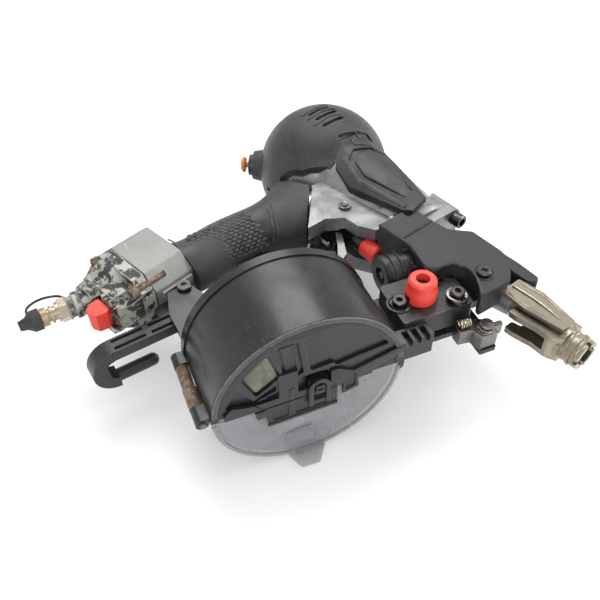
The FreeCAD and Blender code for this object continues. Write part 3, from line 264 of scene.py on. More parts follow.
FINISHES = {
    "worn_elastomer": finish_of("worn_elastomer", (0.016, 0.016, 0.017), (0.038, 0.038, 0.038),
                                (0.11, 0.11, 0.106), rough=(0.42, 0.64), worn_rough=0.6,
                                clouds=(34.0, 0.38, 0.66), chips=(160.0, 0.7, 0.8), edge=(0.0016, 0.7),
                                scratch=(0.8, 0.35), grain=(1500.0, 0.35)),
    "seal_rubber": finish_of("seal_rubber", (0.012, 0.012, 0.012), (0.03, 0.03, 0.03), (0.07, 0.07, 0.07),
                             rough=(0.5, 0.7), grain=(1200.0, 0.2)),
    "polished_alloy": finish_of("polished_alloy", (0.29, 0.30, 0.30), (0.21, 0.21, 0.21),
                                (0.10, 0.096, 0.088), rough=(0.38, 0.56), worn_rough=0.6, metallic=0.8,
                                clouds=(30.0, 0.4, 0.64), chips=(85.0, 0.6, 0.7), edge=(0.0014, 0.6),
                                scratch=(1.0, 0.5), grain=(700.0, 0.3)),
    "inner_alloy": finish_of("inner_alloy", (0.55, 0.55, 0.56), (0.4, 0.4, 0.4), (0.2, 0.2, 0.2),
                             rough=(0.25, 0.4), metallic=1.0, grain=(700.0, 0.1)),
    "valve_plastic": finish_of("valve_plastic", (0.5, 0.48, 0.43), (0.4, 0.38, 0.33), (0.25, 0.24, 0.2)),
    "sandy_alloy": finish_of("sandy_alloy", (0.25, 0.255, 0.24), (0.32, 0.325, 0.31), (0.42, 0.42, 0.39),
                             rough=(0.5, 0.62), worn_rough=0.5, metallic=0.55, clouds=(35.0, 0.38, 0.6),
                             chips=(90.0, 0.64, 0.72), edge=(0.0015, 0.45), scratch=(1.0, 0.25),
                             grain=(1300.0, 0.75)),
    "worn_black_alloy": finish_of("worn_black_alloy", (0.012, 0.012, 0.013), (0.028, 0.028, 0.028),
                                  (0.36, 0.355, 0.31), rough=(0.4, 0.6), worn_rough=0.5,
                                  worn_metallic=0.45, clouds=(60.0, 0.4, 0.6), chips=(150.0, 0.48, 0.54),
                                  edge=(0.002, 0.9), scratch=(1.0, 0.5), grain=(900.0, 0.6)),
    "frame_black": finish_of("frame_black", (0.011, 0.011, 0.012), (0.022, 0.022, 0.023),
                             (0.12, 0.12, 0.12), rough=(0.42, 0.58), worn_rough=0.5,
                             chips=(200.0, 0.72, 0.78), edge=(0.001, 0.5), scratch=(0.9, 0.35),
                             grain=(1700.0, 0.3)),
    "mechanism_black": finish_of("mechanism_black", (0.014, 0.014, 0.015), (0.035, 0.034, 0.032),
                                 (0.22, 0.21, 0.2), rough=(0.28, 0.5), worn_rough=0.4, metallic=0.2,
                                 worn_metallic=0.9, chips=(130.0, 0.64, 0.7), edge=(0.0011, 0.55),
                                 grain=(800.0, 0.3)),
    "drum_black": finish_of("drum_black", (0.0065, 0.0072, 0.0078), (0.013, 0.0145, 0.0155),
                            (0.1, 0.105, 0.1), rough=(0.27, 0.42), worn_rough=0.55,
                            clouds=(26.0, 0.4, 0.66), chips=(210.0, 0.68, 0.76), edge=(0.0008, 0.45),
                            scratch=(1.0, 0.6), grain=(260.0, 0.06)),
    "tray_black": finish_of("tray_black", (0.03, 0.03, 0.03), (0.05, 0.05, 0.05), (0.12, 0.12, 0.12)),
    "signal_red": finish_of("signal_red", (0.74, 0.052, 0.034), (0.62, 0.045, 0.032), (0.24, 0.05, 0.04),
                            rough=(0.32, 0.5), worn_rough=0.55, chips=(190.0, 0.68, 0.74),
                            edge=(0.0008, 0.4), scratch=(1.2, 0.3), grain=(900.0, 0.2)),
    "button_orange": finish_of("button_orange", (0.62, 0.2, 0.03), (0.5, 0.17, 0.04), (0.2, 0.1, 0.05),
                               rough=(0.35, 0.5), chips=(260.0, 0.62, 0.7), edge=(0.0008, 0.5),
                               grain=(900.0, 0.2)),
    "bare_steel": finish_of("bare_steel", (0.2, 0.19, 0.18), (0.1, 0.09, 0.08), (0.46, 0.45, 0.43),
                            rough=(0.25, 0.45), worn_rough=0.25, metallic=1.0, chips=(160.0, 0.6, 0.7),
                            edge=(0.0009, 0.6), grain=(700.0, 0.25)),
    "screw_steel": finish_of("screw_steel", (0.055, 0.053, 0.05), (0.13, 0.12, 0.11), (0.34, 0.33, 0.31),
                             rough=(0.3, 0.5), worn_rough=0.3, metallic=1.0, chips=(240.0, 0.62, 0.7),
                             edge=(0.0007, 0.7), grain=(900.0, 0.25)),
    "rusty_steel": finish_of("rusty_steel", (0.2, 0.15, 0.11), (0.12, 0.075, 0.045), (0.34, 0.29, 0.23),
                             rough=(0.45, 0.7), worn_rough=0.45, metallic=0.35,
                             clouds=(150.0, 0.42, 0.58), chips=(300.0, 0.6, 0.68), edge=(0.0007, 0.5),
                             grain=(1100.0, 0.7)),
    "foot_nickel": finish_of("foot_nickel", (0.34, 0.3, 0.235), (0.22, 0.195, 0.155),
                             (0.09, 0.078, 0.062), rough=(0.28, 0.46), worn_rough=0.5, metallic=1.0,
                             clouds=(55.0, 0.42, 0.62), chips=(150.0, 0.63, 0.7), edge=(0.0008, 0.3),
                             grain=(500.0, 0.35)),
    "plug_brass": finish_of("plug_brass", (0.48, 0.43, 0.33), (0.36, 0.28, 0.16), (0.14, 0.11, 0.07),
                            rough=(0.2, 0.4), metallic=1.0, chips=(240.0, 0.6, 0.68), edge=(0.0006, 0.4),
                            grain=(700.0, 0.25)),
    "hook_black": finish_of("hook_black", (0.014, 0.014, 0.015), (0.025, 0.025, 0.026), (0.2, 0.2, 0.2),
                            rough=(0.32, 0.48), worn_rough=0.4, worn_metallic=0.8,
                            chips=(180.0, 0.7, 0.76), edge=(0.0009, 0.5), grain=(1000.0, 0.2)),
}


def make_clear_finish(name, tint, cover):
    """Smoke-tinted clear plastic, hazy with fine scratches."""
    material = bpy.data.materials.new(name)
    material.use_nodes = True
    tree = material.node_tree
    shader = tree.nodes["Principled BSDF"]
    shader.inputs["IOR"].default_value = 1.49
    shader.inputs["Specular IOR Level"].default_value = 0.6
    lines = use_group(tree, SCRATCHES, Scale=1.1, Amount=0.6)
    haze = use_group(tree, CLOUDS, Scale=26.0, Low=0.35, High=0.7)
    tree.links.new(mixed(tree, lines, tint, (0.6, 0.6, 0.62)), shader.inputs["Base Color"])
    tree.links.new(ranged(tree, haze, 0.0, 1.0, 0.14, 0.3), shader.inputs["Roughness"])
    solid = ranged(tree, haze, 0.0, 1.0, *cover)
    tree.links.new(worked(tree, "ADD", solid, worked(tree, "MULTIPLY", lines, 0.3)), shader.inputs["Alpha"])
    return material


FINISHES["smoke_clear"] = make_clear_finish("smoke_clear", (0.34, 0.34, 0.36), (0.34, 0.5))
CLEAR_EDGE = make_clear_finish("clear_edge", (0.27, 0.27, 0.285), (0.6, 0.72))
DUSTY_OLIVE = finish_of("dusty_olive", (0.075, 0.082, 0.06), (0.15, 0.155, 0.105), (0.24, 0.24, 0.17),
                        rough=(0.45, 0.6), worn_rough=0.6, clouds=(90.0, 0.4, 0.6), chips=(170.0, 0.6, 0.7),
                        edge=(0.0008, 0.4), scratch=(1.0, 0.5), grain=(700.0, 0.2))
DUSTY_DRUM = finish_of("dusty_drum", (0.03, 0.032, 0.028), (0.06, 0.063, 0.052), (0.2, 0.2, 0.16),
                       rough=(0.35, 0.55), worn_rough=0.6, clouds=(60.0, 0.4, 0.62),
                       chips=(190.0, 0.64, 0.74), edge=(0.0014, 0.8), scratch=(1.0, 0.5),
                       grain=(500.0, 0.2))


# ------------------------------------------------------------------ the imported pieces

SOFT_EDGES = {"head_cover": 0.9, "grip": 1.0, "side_protector_right": 0.8, "side_protector_left": 0.8,
              "nose_cover": 1.0, "end_block": 0.9, "end_cap": 0.8, "body_housing": 0.6, "hook": 0.8,
              "magazine_body": 0.35, "nose_cap": 0.6, "selector_lever": 0.6, "nose_guard": 0.5,
              "nail_guide": 0.4, "nose_guide": 0.5, "contact_foot": 0.45, "trigger": 0.4}
USUAL_EDGE = 0.25
SLOT_OF = {item["node"]: item["material_slot"] for item in frame["record"]["subparts"]}


def soften_edges(piece, width):
    """Welds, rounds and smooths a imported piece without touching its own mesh."""
    piece.data.polygons.foreach_set("use_smooth", [True] * len(piece.data.polygons))
    if "custom_normal" in piece.data.attributes:
        piece.data.attributes.remove(piece.data.attributes["custom_normal"])
    weld = piece.modifiers.new("weld", "WELD")
    weld.merge_threshold = 0.00001
    flatten = piece.modifiers.new("flatten", "DECIMATE")
    flatten.decimate_type = "DISSOLVE"
    flatten.angle_limit = math.radians(0.5)
    edges = piece.modifiers.new("edges", "BEVEL")
    edges.width = width * MM
    edges.segments = 2
    edges.limit_method = "ANGLE"
    edges.angle_limit = math.radians(32)
    edges.harden_normals = True


def dress(node, piece):
    """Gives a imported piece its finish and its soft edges."""
    piece.data.materials.clear()
    piece.data.materials.append(FINISHES[SLOT_OF[node]])
    soften_edges(piece, SOFT_EDGES.get(node, USUAL_EDGE))


for node_name, node_piece in NODES.items():
    dress(node_name, node_piece)


# ------------------------------------------------------------------ modelling helpers

def local_frame(x, y, turn, z=0.0):
    """A frame on the tool that is turned about the drive axis's upright."""
    return Matrix.Translation(tool(x, y, z)) @ Matrix.Rotation(math.radians(turn), 4, "Z")


TOOL = local_frame(0, 0, 0)
MAGAZINE = local_frame(162.7, -134, -16.4)
HANDLE = local_frame(90.3, 0, -95.71)
PLUG = local_frame(67, -221.5, -98, 2)
ALONG = {
    "Z": Matrix.Identity(4),
    "X": Matrix(((0, 0, 1, 0), (1, 0, 0, 0), (0, 1, 0, 0), (0, 0, 0, 1))),
}


def arc(radius, start, stop, count, centre=(0.0, 0.0)):
    """Points of an arc, in millimetres, between two angles in degrees."""
    angles = [math.radians(start + (stop - start) * step / (count - 1)) for step in range(count)]
    across, up = centre
    return [(across + radius * math.cos(angle), up + radius * math.sin(angle)) for angle in angles]


def ring_part(outer, inner, start, stop, count=48, centre=(0.0, 0.0)):
    """The outline of a part of a ring."""
    return arc(outer, start, stop, count, centre) + arc(inner, stop, start, count, centre)


def slab(name, corners, low, high, along="X", corner_radius=0.0):
    """A flat piece: its outline in millimetres, extruded between two heights along an axis."""
    bpy.ops.object.select_all(action="DESELECT")
    bpy.ops.mesh.primitive_circle_add(vertices=len(corners), radius=MM, fill_type="NGON")
    piece = bpy.context.object
    piece.name = name
    for vertex, (across, up) in zip(piece.data.vertices, corners):
        vertex.co = Vector((across, up, low)) * MM
    bpy.ops.object.mode_set(mode="EDIT")
    bpy.ops.mesh.select_all(action="SELECT")
    if corner_radius:
        bpy.ops.mesh.bevel(offset=corner_radius * MM, segments=4, affect="VERTICES")
        bpy.ops.mesh.select_all(action="SELECT")
    bpy.ops.mesh.extrude_region_move(TRANSFORM_OT_translate={"value": (0, 0, (high - low) * MM)})
    bpy.ops.mesh.select_all(action="SELECT")
    bpy.ops.mesh.normals_make_consistent(inside=False)
    bpy.ops.object.mode_set(mode="OBJECT")
    piece.matrix_world = ALONG[along]
    return piece


def applied(piece, modifier):
    """Makes the modifier's result the piece's own mesh."""
    bpy.context.view_layer.objects.active = piece
    bpy.ops.object.modifier_apply(modifier=modifier.name)


def cut_away(piece, *cutters):
    """The piece with each cutter's shape taken out of it."""
    bpy.context.view_layer.update()
    for cutter in cutters:
        hole = piece.modifiers.new("hole", "BOOLEAN")
        hole.operation = "DIFFERENCE"
        hole.solver = "EXACT"
        hole.object = cutter
        applied(piece, hole)
        bpy.data.objects.remove(cutter)
    return piece


def eased(piece, width, segments=2):
    """Rounds the sharp edges."""
    rounding = piece.modifiers.new("rounding", "BEVEL")
    rounding.width = width * MM
    rounding.segments = segments
    rounding.limit_method = "ANGLE"
    rounding.angle_limit = math.radians(35)
    applied(piece, rounding)
    return piece


def only(piece):
    """Selects this piece and no other."""
    bpy.ops.object.select_all(action="DESELECT")
    piece.select_set(True)
    bpy.context.view_layer.objects.active = piece


def settled(piece, place, body, slot, finish=None, smooth=35):
    """Puts the finished piece in its place on a body, with its place in its mesh."""
    only(piece)
    piece.matrix_world = place @ piece.matrix_world
    bpy.ops.object.transform_apply(location=True, rotation=True, scale=True)
    bpy.ops.object.shade_smooth_by_angle(angle=math.radians(smooth))
    piece.data.materials.clear()
    piece.data.materials.append(finish or FINISHES[slot])
    if body:
        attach(piece, body)
    return piece


def smooth_line(name, points, closed=False, resolution=6):
    """A NURBS line through the space between its points, in millimetres."""
    line = bpy.data.curves.new(name, "CURVE")
    line.dimensions = "3D"
    spline = line.splines.new("NURBS")
    spline.points.add(len(points) - 1)
    for point, spot in zip(spline.points, points):
        point.co = (*(Vector(spot) * MM), 1.0)
    spline.use_cyclic_u = closed
    spline.order_u = 3
    spline.use_endpoint_u = not closed
    spline.resolution_u = resolution
    piece = bpy.data.objects.new(name, line)
    bpy.context.scene.collection.objects.link(piece)
    return piece


def bead(name, points, radius, closed=False, resolution=6, sides=2):
    """A round bead or wire along a smooth line."""
    piece = smooth_line(name, points, closed, resolution)
    piece.data.bevel_depth = radius * MM
    piece.data.bevel_resolution = sides
    piece.data.use_fill_caps = True
    only(piece)
    bpy.ops.object.convert(target="MESH")
    bpy.ops.object.mode_set(mode="EDIT")
    bpy.ops.mesh.select_all(action="SELECT")
    bpy.ops.mesh.remove_doubles(threshold=0.000001)
    bpy.ops.mesh.normals_make_consistent(inside=False)
    bpy.ops.object.mode_set(mode="OBJECT")
    return piece


def coil_points(turns, pitch_start, pitch_stop, radius, steps=12):
    """Points of a coil along X, from one place to the other, in millimetres."""
    count = turns * steps
    return [(pitch_start + (pitch_stop - pitch_start) * step / count,
             radius * math.cos(math.tau * step / steps), radius * math.sin(math.tau * step / steps))
            for step in range(count + 1)]


def body_under(node):
    """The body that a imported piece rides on."""
    return NODES[node]["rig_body"]


# ------------------------------------------------------------------ the drum's face

FACE = 58.0
DRUM_BODY = body_under("magazine_body")
COVER_BODY = body_under("magazine_cover")


def make_drum_face():
    """The ribbed face: a plate with sunk fields for the window, the blank label and the latch."""
    plate = slab("drum_face", arc(56.9, 8, 172, 60), FACE - 0.1, FACE + 2.0)
    window = [(-41.5, 31.0), (-24.5, 46.2), (-18.2, 23.5), (-33.6, 12.6)]
    label = [(-20.0, 49.0), (-7.4, 49.4), (-3.9, 21.4), (-12.4, 18.4), (-16.6, 24.4)]
    field = [(-2.6, 50.2), (8, 51.6), (17.0, 50.6), (34.0, 43.4), (44, 33.4), (51.2, 22.6), (30.4, 20.4),
             (16.8, 18.0), (15.4, 21.8), (0.6, 20.4)]
    corner_field = [(-52.6, 10.0), (-44.6, 24.4), (-35.2, 9.4), (-21.4, 18.2), (-21.0, 12.4), (-31.6, 9.2),
                    (-35.4, 7.0), (-48.6, 7.0)]
    latch_bay = [(-9.4, 6.0), (-9.4, 13.6), (-4.4, 17.4), (10.0, 17.2), (12.8, 15.4), (12.8, 6.0)]
    low_field = [(-28.6, 5.0), (-27.2, 9.4), (-14.8, 12.4), (-12.6, 5.0)]
    sunk = ((window, 2.2), (label, 1.2), (field, 2.0), (corner_field, 1.0), (latch_bay, 1.2),
            (low_field, 1.0))
    cut_away(plate, *[slab("sink", outline, FACE - 1, FACE + 5, corner_radius=rounding)
                      for outline, rounding in sunk])
    settled(eased(plate, 0.3), MAGAZINE, DRUM_BODY, "drum_black")
    pane = slab("drum_window", [(-40.0, 31.0), (-25.2, 43.6), (-19.6, 24.2), (-33.4, 14.8)], FACE,
                FACE + 0.7, corner_radius=2.0)
    settled(eased(pane, 0.3), MAGAZINE, DRUM_BODY, "drum_black", DUSTY_OLIVE)
    pad = slab("blank_label_pad", [(-18.0, 47.4), (-9.2, 47.6), (-5.9, 23.2), (-12.2, 20.8), (-14.6, 25.2)],
               FACE, FACE + 1.2, corner_radius=0.8)
    frame_slot = slab("sink", [(-16.6, 45.8), (-10.4, 45.9), (-7.7, 24.6), (-12.0, 23.0), (-13.4, 26.0)],
                      FACE + 0.8, FACE + 3, corner_radius=0.6)
    settled(eased(cut_away(pad, frame_slot), 0.2), MAGAZINE, DRUM_BODY, "drum_black")
    rim = slab("drum_face_rim", ring_part(61.9, 58.6, 6, 174, 64), FACE + 1.9, FACE + 3.2)
    settled(eased(rim, 0.5), MAGAZINE, DRUM_BODY, "drum_black", DUSTY_DRUM)


def make_flange():
    """The stepped flange at the split, the latch's posts and the ribbed arm's small tab."""
    step = slab("split_flange", [(12.6, 16.2), (17.0, 16.6), (27.1, 9.9), (56.6, 17.4), (60.6, 17.0),
                                 (60.8, 12.6), (42.0, 6.0), (31.0, 1.6), (31.6, -7.2), (20.8, -9.4),
                                 (20.8, 1.0), (12.6, 1.0)], FACE + 1.6, FACE + 3.8, corner_radius=0.7)
    sunk = slab("sink", [(21.8, 10.2), (29.0, 7.2), (29.2, -4.6), (22.6, -6.6)], FACE + 2.6, FACE + 6,
                corner_radius=1)
    settled(eased(cut_away(step, sunk), 0.4), MAGAZINE, DRUM_BODY, "drum_black")
    post = [(-13.6, 11.0), (-10.2, 11.6), (-10.2, 0.8), (-13.6, 0.8)]
    bracket = [(-53.2, 6.6), (-49.4, 10.2), (-36.2, 6.6), (-30.6, 0.8), (-54.2, 0.8)]
    for name, outline in (("latch_post_near", post), ("hinge_end_bracket", bracket)):
        piece = slab(name, outline, FACE + 0.5, FACE + 3.6, corner_radius=0.6)
        settled(eased(piece, 0.4), MAGAZINE, DRUM_BODY, "drum_black")
    tab = slab("arm_tab", [(59.8, 2.4), (64.8, 2.4), (64.0, -7.4), (61.4, -9.4)], FACE - 1.8, FACE + 0.6,
               corner_radius=0.7)
    settled(eased(tab, 0.4), MAGAZINE, DRUM_BODY, "frame_black")


def make_cover_parts():
    """The clear half's rim, brace, blank box and finger tab, and the black catch frame on it."""
    rim = slab("clear_rim", ring_part(61.9, 59.4, 184, 356, 64), FACE - 0.1, FACE + 1.2)
    settled(eased(rim, 0.4), MAGAZINE, COVER_BODY, "smoke_clear", CLEAR_EDGE)
    brace = slab("clear_brace", [(-56.6, -2.0), (-56.2, -12.4), (-48.4, -34.0), (-43.0, -42.6),
                                 (16.0, -24.8), (18.4, -19.4), (-27.0, -19.6), (-29.4, -2.0)], FACE,
                 FACE + 1.1, corner_radius=1.2)
    settled(eased(brace, 0.3), MAGAZINE, COVER_BODY, "smoke_clear")
    box_edge = slab("clear_blank_box", [(-16.3, -49.3), (-15.9, -37.0), (2.3, -35.8), (4.6, -52.2)], FACE,
                    FACE + 0.8, corner_radius=0.8)
    inner = slab("sink", [(-15.2, -48.2), (-14.9, -38.0), (1.3, -36.9), (3.4, -50.9)], FACE + 0.3, FACE + 3,
                 corner_radius=0.6)
    settled(eased(cut_away(box_edge, inner), 0.15), MAGAZINE, COVER_BODY, "smoke_clear", CLEAR_EDGE)
    tab = slab("clear_finger_tab", [(56.6, -15.0), (60.0, -15.0), (71.0, -10.6), (71.6, 2.2), (60.0, 10.4),
                                    (56.6, 10.4)], -61.6, -60.2, "Z", corner_radius=1.0)
    settled(eased(tab, 0.3), MAGAZINE, COVER_BODY, "smoke_clear")
    sleeve = slab("hinge_sleeve_middle", ring_part(4.45, 4.1, 0, 352, 45, (-66.5, 0)), 30.3, 45.3)
    settled(sleeve, MAGAZINE, COVER_BODY, "rusty_steel")
    catch = slab("catch_frame", [(-29.6, -0.9), (-27.4, -17.9), (17.6, -17.1), (17.6, -0.9)], FACE + 1.25,
                 FACE + 2.9, corner_radius=0.8)
    fields = [[(-25.6, -2.6), (-24.2, -14.8), (-14.6, -14.6), (-14.6, -2.6)],
              [(-10.0, -2.0), (-10.0, -14.6), (12.4, -14.2), (12.4, -2.0)]]
    cut_away(catch, *[slab("sink", outline, FACE + 1.9, FACE + 5, corner_radius=0.6) for outline in fields])
    settled(eased(catch, 0.3), MAGAZINE, COVER_BODY, "drum_black")
    bar = slab("catch_bar", [(-28.6, -16.2), (-28.0, -18.6), (17.8, -18.0), (17.8, -15.6)], FACE + 2.6,
               FACE + 3.6, corner_radius=0.5)
    settled(eased(bar, 0.3), MAGAZINE, COVER_BODY, "drum_black")
    shoe = slab("catch_shoe", [(-35.6, -1.2), (-34.4, -8.6), (-28.6, -8.6), (-28.6, -1.2)], FACE + 1.2,
                FACE + 3.4, corner_radius=0.8)
    settled(eased(shoe, 0.4), MAGAZINE, COVER_BODY, "drum_black")


def make_latch_slide():
    """The latch's arch with its two legs and the finger grip between them."""
    centre = (5.0, 6.4)
    outline = (arc(7.2, 0, 180, 16, centre) + [(-2.2, -9.4), (1.0, -9.4)] + arc(4.0, 180, 0, 12, centre)
               + [(9.0, -9.4), (12.2, -9.4)])
    body = body_under("magazine_latch")
    settled(eased(slab("latch_arch", outline, FACE + 3.1, FACE + 5.6), 0.4), MAGAZINE, body, "drum_black")
    grip = slab("latch_grip", [(2.2, 9.0), (7.8, 9.0), (7.8, 1.8), (2.2, 1.8)], FACE + 2.9, FACE + 6.2,
                corner_radius=0.7)
    notch = slab("sink", [(3.4, 6.4), (6.6, 6.4), (6.6, 4.6), (3.4, 4.6)], FACE + 4.4, FACE + 8)
    settled(eased(cut_away(grip, notch), 0.35), MAGAZINE, body, "drum_black")
    foot = slab("latch_foot", [(-1.6, -6.2), (11.6, -6.2), (11.6, -9.4), (-1.6, -9.4)], FACE + 3.0,
                FACE + 4.2, corner_radius=0.5)
    settled(eased(foot, 0.3), MAGAZINE, body, "drum_black")


# ------------------------------------------------------------------ grip

GRIP_STATIONS = ((70, 25.5, 21.0), (88, 20.6, 19.9), (120, 19.5, 18.9), (162, 20.3, 19.5))


def grip_point(along, angle, rise):
    """A point of the sleeve and the direction out of it; the angle turns from the nose side upwards."""
    for (start, wide, high), (stop, wide_next, high_next) in zip(GRIP_STATIONS, GRIP_STATIONS[1:]):
        if along <= stop:
            break
    share = (along - start) / (stop - start)
    wide += (wide_next - wide) * share
    high += (high_next - high) * share
    turn = math.radians(angle)
    outward = Vector((0, math.cos(turn) / wide, math.sin(turn) / high)).normalized()
    return Vector((along, wide * math.cos(turn), high * math.sin(turn))) + outward * rise, outward


def make_grip_scales():
    """Raised scales in staggered rows on both flanks of the sleeve."""
    leaf = [(-2.1, 0.0), (-1.0, -1.15), (1.0, -1.15), (2.1, 0.0), (1.0, 1.15), (-1.0, 1.15)]
    tile = slab("grip_scales", leaf, -0.3, 0.1, "Z")
    bpy.ops.object.mode_set(mode="EDIT")
    bpy.ops.mesh.select_mode(type="FACE")
    bpy.ops.mesh.select_all(action="DESELECT")
    bpy.ops.object.mode_set(mode="OBJECT")
    for face in tile.data.polygons:
        face.select = face.normal.z > 0.9
    bpy.ops.object.mode_set(mode="EDIT")
    bpy.ops.mesh.extrude_region_move(TRANSFORM_OT_translate={"value": (0.0003, 0, 0.00042)})
    bpy.ops.transform.resize(value=(0.45, 0.4, 1.0))
    bpy.ops.object.mode_set(mode="OBJECT")
    scales = [tile]
    for side in (1, -1):
        for row in range(13):
            angle = 12 + 7.6 * row
            for column in range(13 - row // 5):
                along = 93 + 4.5 * column + (2.25 if row % 2 else 0) + 0.25 * row
                spot, outward = grip_point(along, side * angle, 0.05)
                down = Vector((1, 0, 0))
                turn = Matrix((down, outward.cross(down), outward)).transposed().to_4x4()
                scale = tile.copy()
                scale.data = tile.data.copy()
                bpy.context.scene.collection.objects.link(scale)
                scale.matrix_world = Matrix.Translation(spot * MM) @ turn
                scales.append(scale)
    bpy.ops.object.select_all(action="DESELECT")
    for scale in scales[1:]:
        scale.select_set(True)
    bpy.context.view_layer.objects.active = scales[1]
    bpy.ops.object.join()
    joined = scales[1]
    bpy.data.objects.remove(tile)
    joined.name = "grip_scales"
    settled(joined, HANDLE, body_under("grip"), "worn_elastomer", smooth=20)


def make_grip_ridges():
    """The raised lines that bound the scales, and the folds at the sleeve's upper end."""
    for name, first, last, start, stop, radius in (
            ("grip_ridge_far", 151.0, 154.0, 8, 128, 0.5), ("grip_ridge_near", 155.0, 157.6, 8, 128, 0.65),
            ("grip_fold_a", 88.0, 80.0, 12, 92, 0.6), ("grip_fold_b", 84.5, 76.5, 12, 92, 0.5)):
        for side, hand in ((1, "right"), (-1, "left")):
            spots = [(first + (last - first) * step / 8, side * (start + (stop - start) * step / 8))
                     for step in range(9)]
            points = [grip_point(along, angle, 0.1)[0] for along, angle in spots]
            settled(bead(f"{name}_{hand}", points, radius), HANDLE, body_under("grip"), "worn_elastomer")


# ------------------------------------------------------------------ covers

BALL_CENTRE = Vector((51, 0, 0))
BALL_RADIUS = 51.5


def on_ball(points, rise=0.0):
    """The points moved on to the head's ball."""
    outward = [(Vector(point) - BALL_CENTRE).normalized() for point in points]
    return [BALL_CENTRE + direction * (BALL_RADIUS + rise) for direction in outward]


def make_head_lines():
    """Fine moulding lines on the head, and the raised lips of its wavy vents."""
    body = body_under("head_cover")
    lines = {
        "head_line_upper": [(38.3, -18.3, 46.4), (52.6, -27.4, 43.6), (66.9, -27.8, 40.3),
                            (77.8, -23.4, 37.3), (84.9, -20.4, 33.0)],
        "head_line_lower": [(46.0, -24.4, 45.0), (53.9, -31.2, 41.3), (66.2, -31.2, 39.0),
                            (79.8, -27.1, 33.5)],
        "head_line_crown": [(44.5, 13.8, 49.7), (59.2, 10.1, 50.3), (72.9, 9.8, 46.0),
                            (81.8, 10.6, 40.2)],
    }
    for name, points in lines.items():
        settled(bead(name, on_ball(points, -0.15), 0.45), TOOL, body, "worn_elastomer")
    for index, middle in enumerate((42.4, 51.0, 59.6)):
        points = [(middle - 3.6, -13.0, 48), (middle - 2.4, -8.0, 50), (middle - 4.0, -1.0, 51),
                  (middle - 3.4, 5.0, 51), (middle - 2.2, 12.0, 49)]
        settled(bead(f"vent_lip_{index + 1}", on_ball(points, 0.25), 0.95), TOOL, body, "worn_elastomer")


def skin_height(x, y):
    """Height of the side protector's outer face above a point of the plan."""
    stations = ((70, 47.0), (82, 40.0), (96, 38.6), (165, 34.0))
    for (start, radius), (stop, radius_next) in zip(stations, stations[1:]):
        if x <= stop:
            break
    radius += (radius_next - radius) * (x - start) / (stop - start)
    return math.sqrt(radius * radius - y * y)


def make_protector_panel():
    """The raised blank panel and the two rails of the right-hand protector, laid on its curved face."""
    outlines = {
        "protector_panel": ([(94, 9.0), (108, 11.0), (149, -0.6), (151, -7.4), (113, -13.6),
                             (97, -9.0)], 0.1),
        "protector_rail": ([(88, -14.6), (96, -16.4), (112, -20.8), (156, -14.6), (156, -12.4),
                            (112, -17.6), (98, -13.6), (90, -11.4)], 0.35),
        "protector_crown": ([(79, 15.0), (82, 19.6), (92, 20.4), (104, 17.4), (99, 13.6), (90, 12.8),
                             (84, 1.6), (80, 2.6)], 0.4),
    }
    for name, (outline, rise) in outlines.items():
        for side, hand in ((1, "right"), (-1, "left")):
            piece = slab(f"{name}_{hand}", outline, 0.0, 1.4, "Z", corner_radius=1.6)
            eased(piece, 0.35)
            bpy.ops.object.mode_set(mode="EDIT")
            bpy.ops.mesh.select_all(action="SELECT")
            for crossing in range(18):
                spot = 78 + 4.6 * crossing
                bpy.ops.mesh.bisect(plane_co=(spot * MM, 0, 0), plane_no=(1, 0, 0))
                bpy.ops.mesh.select_all(action="SELECT")
            for crossing in range(12):
                bpy.ops.mesh.bisect(plane_co=(0, (-21 + 3.6 * crossing) * MM, 0), plane_no=(0, 1, 0))
                bpy.ops.mesh.select_all(action="SELECT")
            bpy.ops.object.mode_set(mode="OBJECT")
            for vertex in piece.data.vertices:
                base = skin_height(vertex.co.x / MM, vertex.co.y / MM) - 1.2 + rise
                vertex.co.z = side * (base * MM + vertex.co.z)
            if side < 0:
                bpy.ops.object.mode_set(mode="EDIT")
                bpy.ops.mesh.select_all(action="SELECT")
                bpy.ops.mesh.flip_normals()
                bpy.ops.object.mode_set(mode="OBJECT")
            settled(piece, TOOL, body_under(f"side_protector_{hand}"), "worn_elastomer")


def make_nose_cover_lines():
    """The raised edge of the nose cover, its panel break and the collar round its screw."""
    top = 30.1
    body = body_under("nose_cover")
    edge = [(157.6, -39.0), (178, -37.4), (187, -37.6), (190, -38.2), (207.6, -44.6), (211.8, -42.2),
            (215.0, -29.2), (216.6, -27.4), (223.6, -24.0), (234, -25.0), (246.2, -35.4)]
    settled(bead("cover_edge", [(x, y, top) for x, y in edge], 1.1), TOOL, body, "frame_black")
    settled(bead("cover_break", [(177.4, -37.6, top), (177.2, -22, top), (176.6, -8.6, top)], 1.0), TOOL,
            body, "frame_black")
    collar = [(234 + x, -20 + y, top) for x, y in arc(6.6, 0, 345, 24)]
    settled(bead("screw_collar", collar, 0.6, closed=True), TOOL, body, "frame_black")
    clip = slab("stud_clip", ring_part(7.0, 4.9, 30, 345, 36, (41, 108.5)), 22.8, 24.1, "Z")
    settled(eased(clip, 0.3), MAGAZINE, body_under("nail_guide"), "bare_steel")
    dish = slab("guide_screw_dish", ring_part(8.4, 6.6, 0, 356, 48, (31.5, 72.6)), 19.6, 20.9, "Z")
    settled(eased(dish, 0.4), MAGAZINE, body_under("nail_guide"), "mechanism_black")


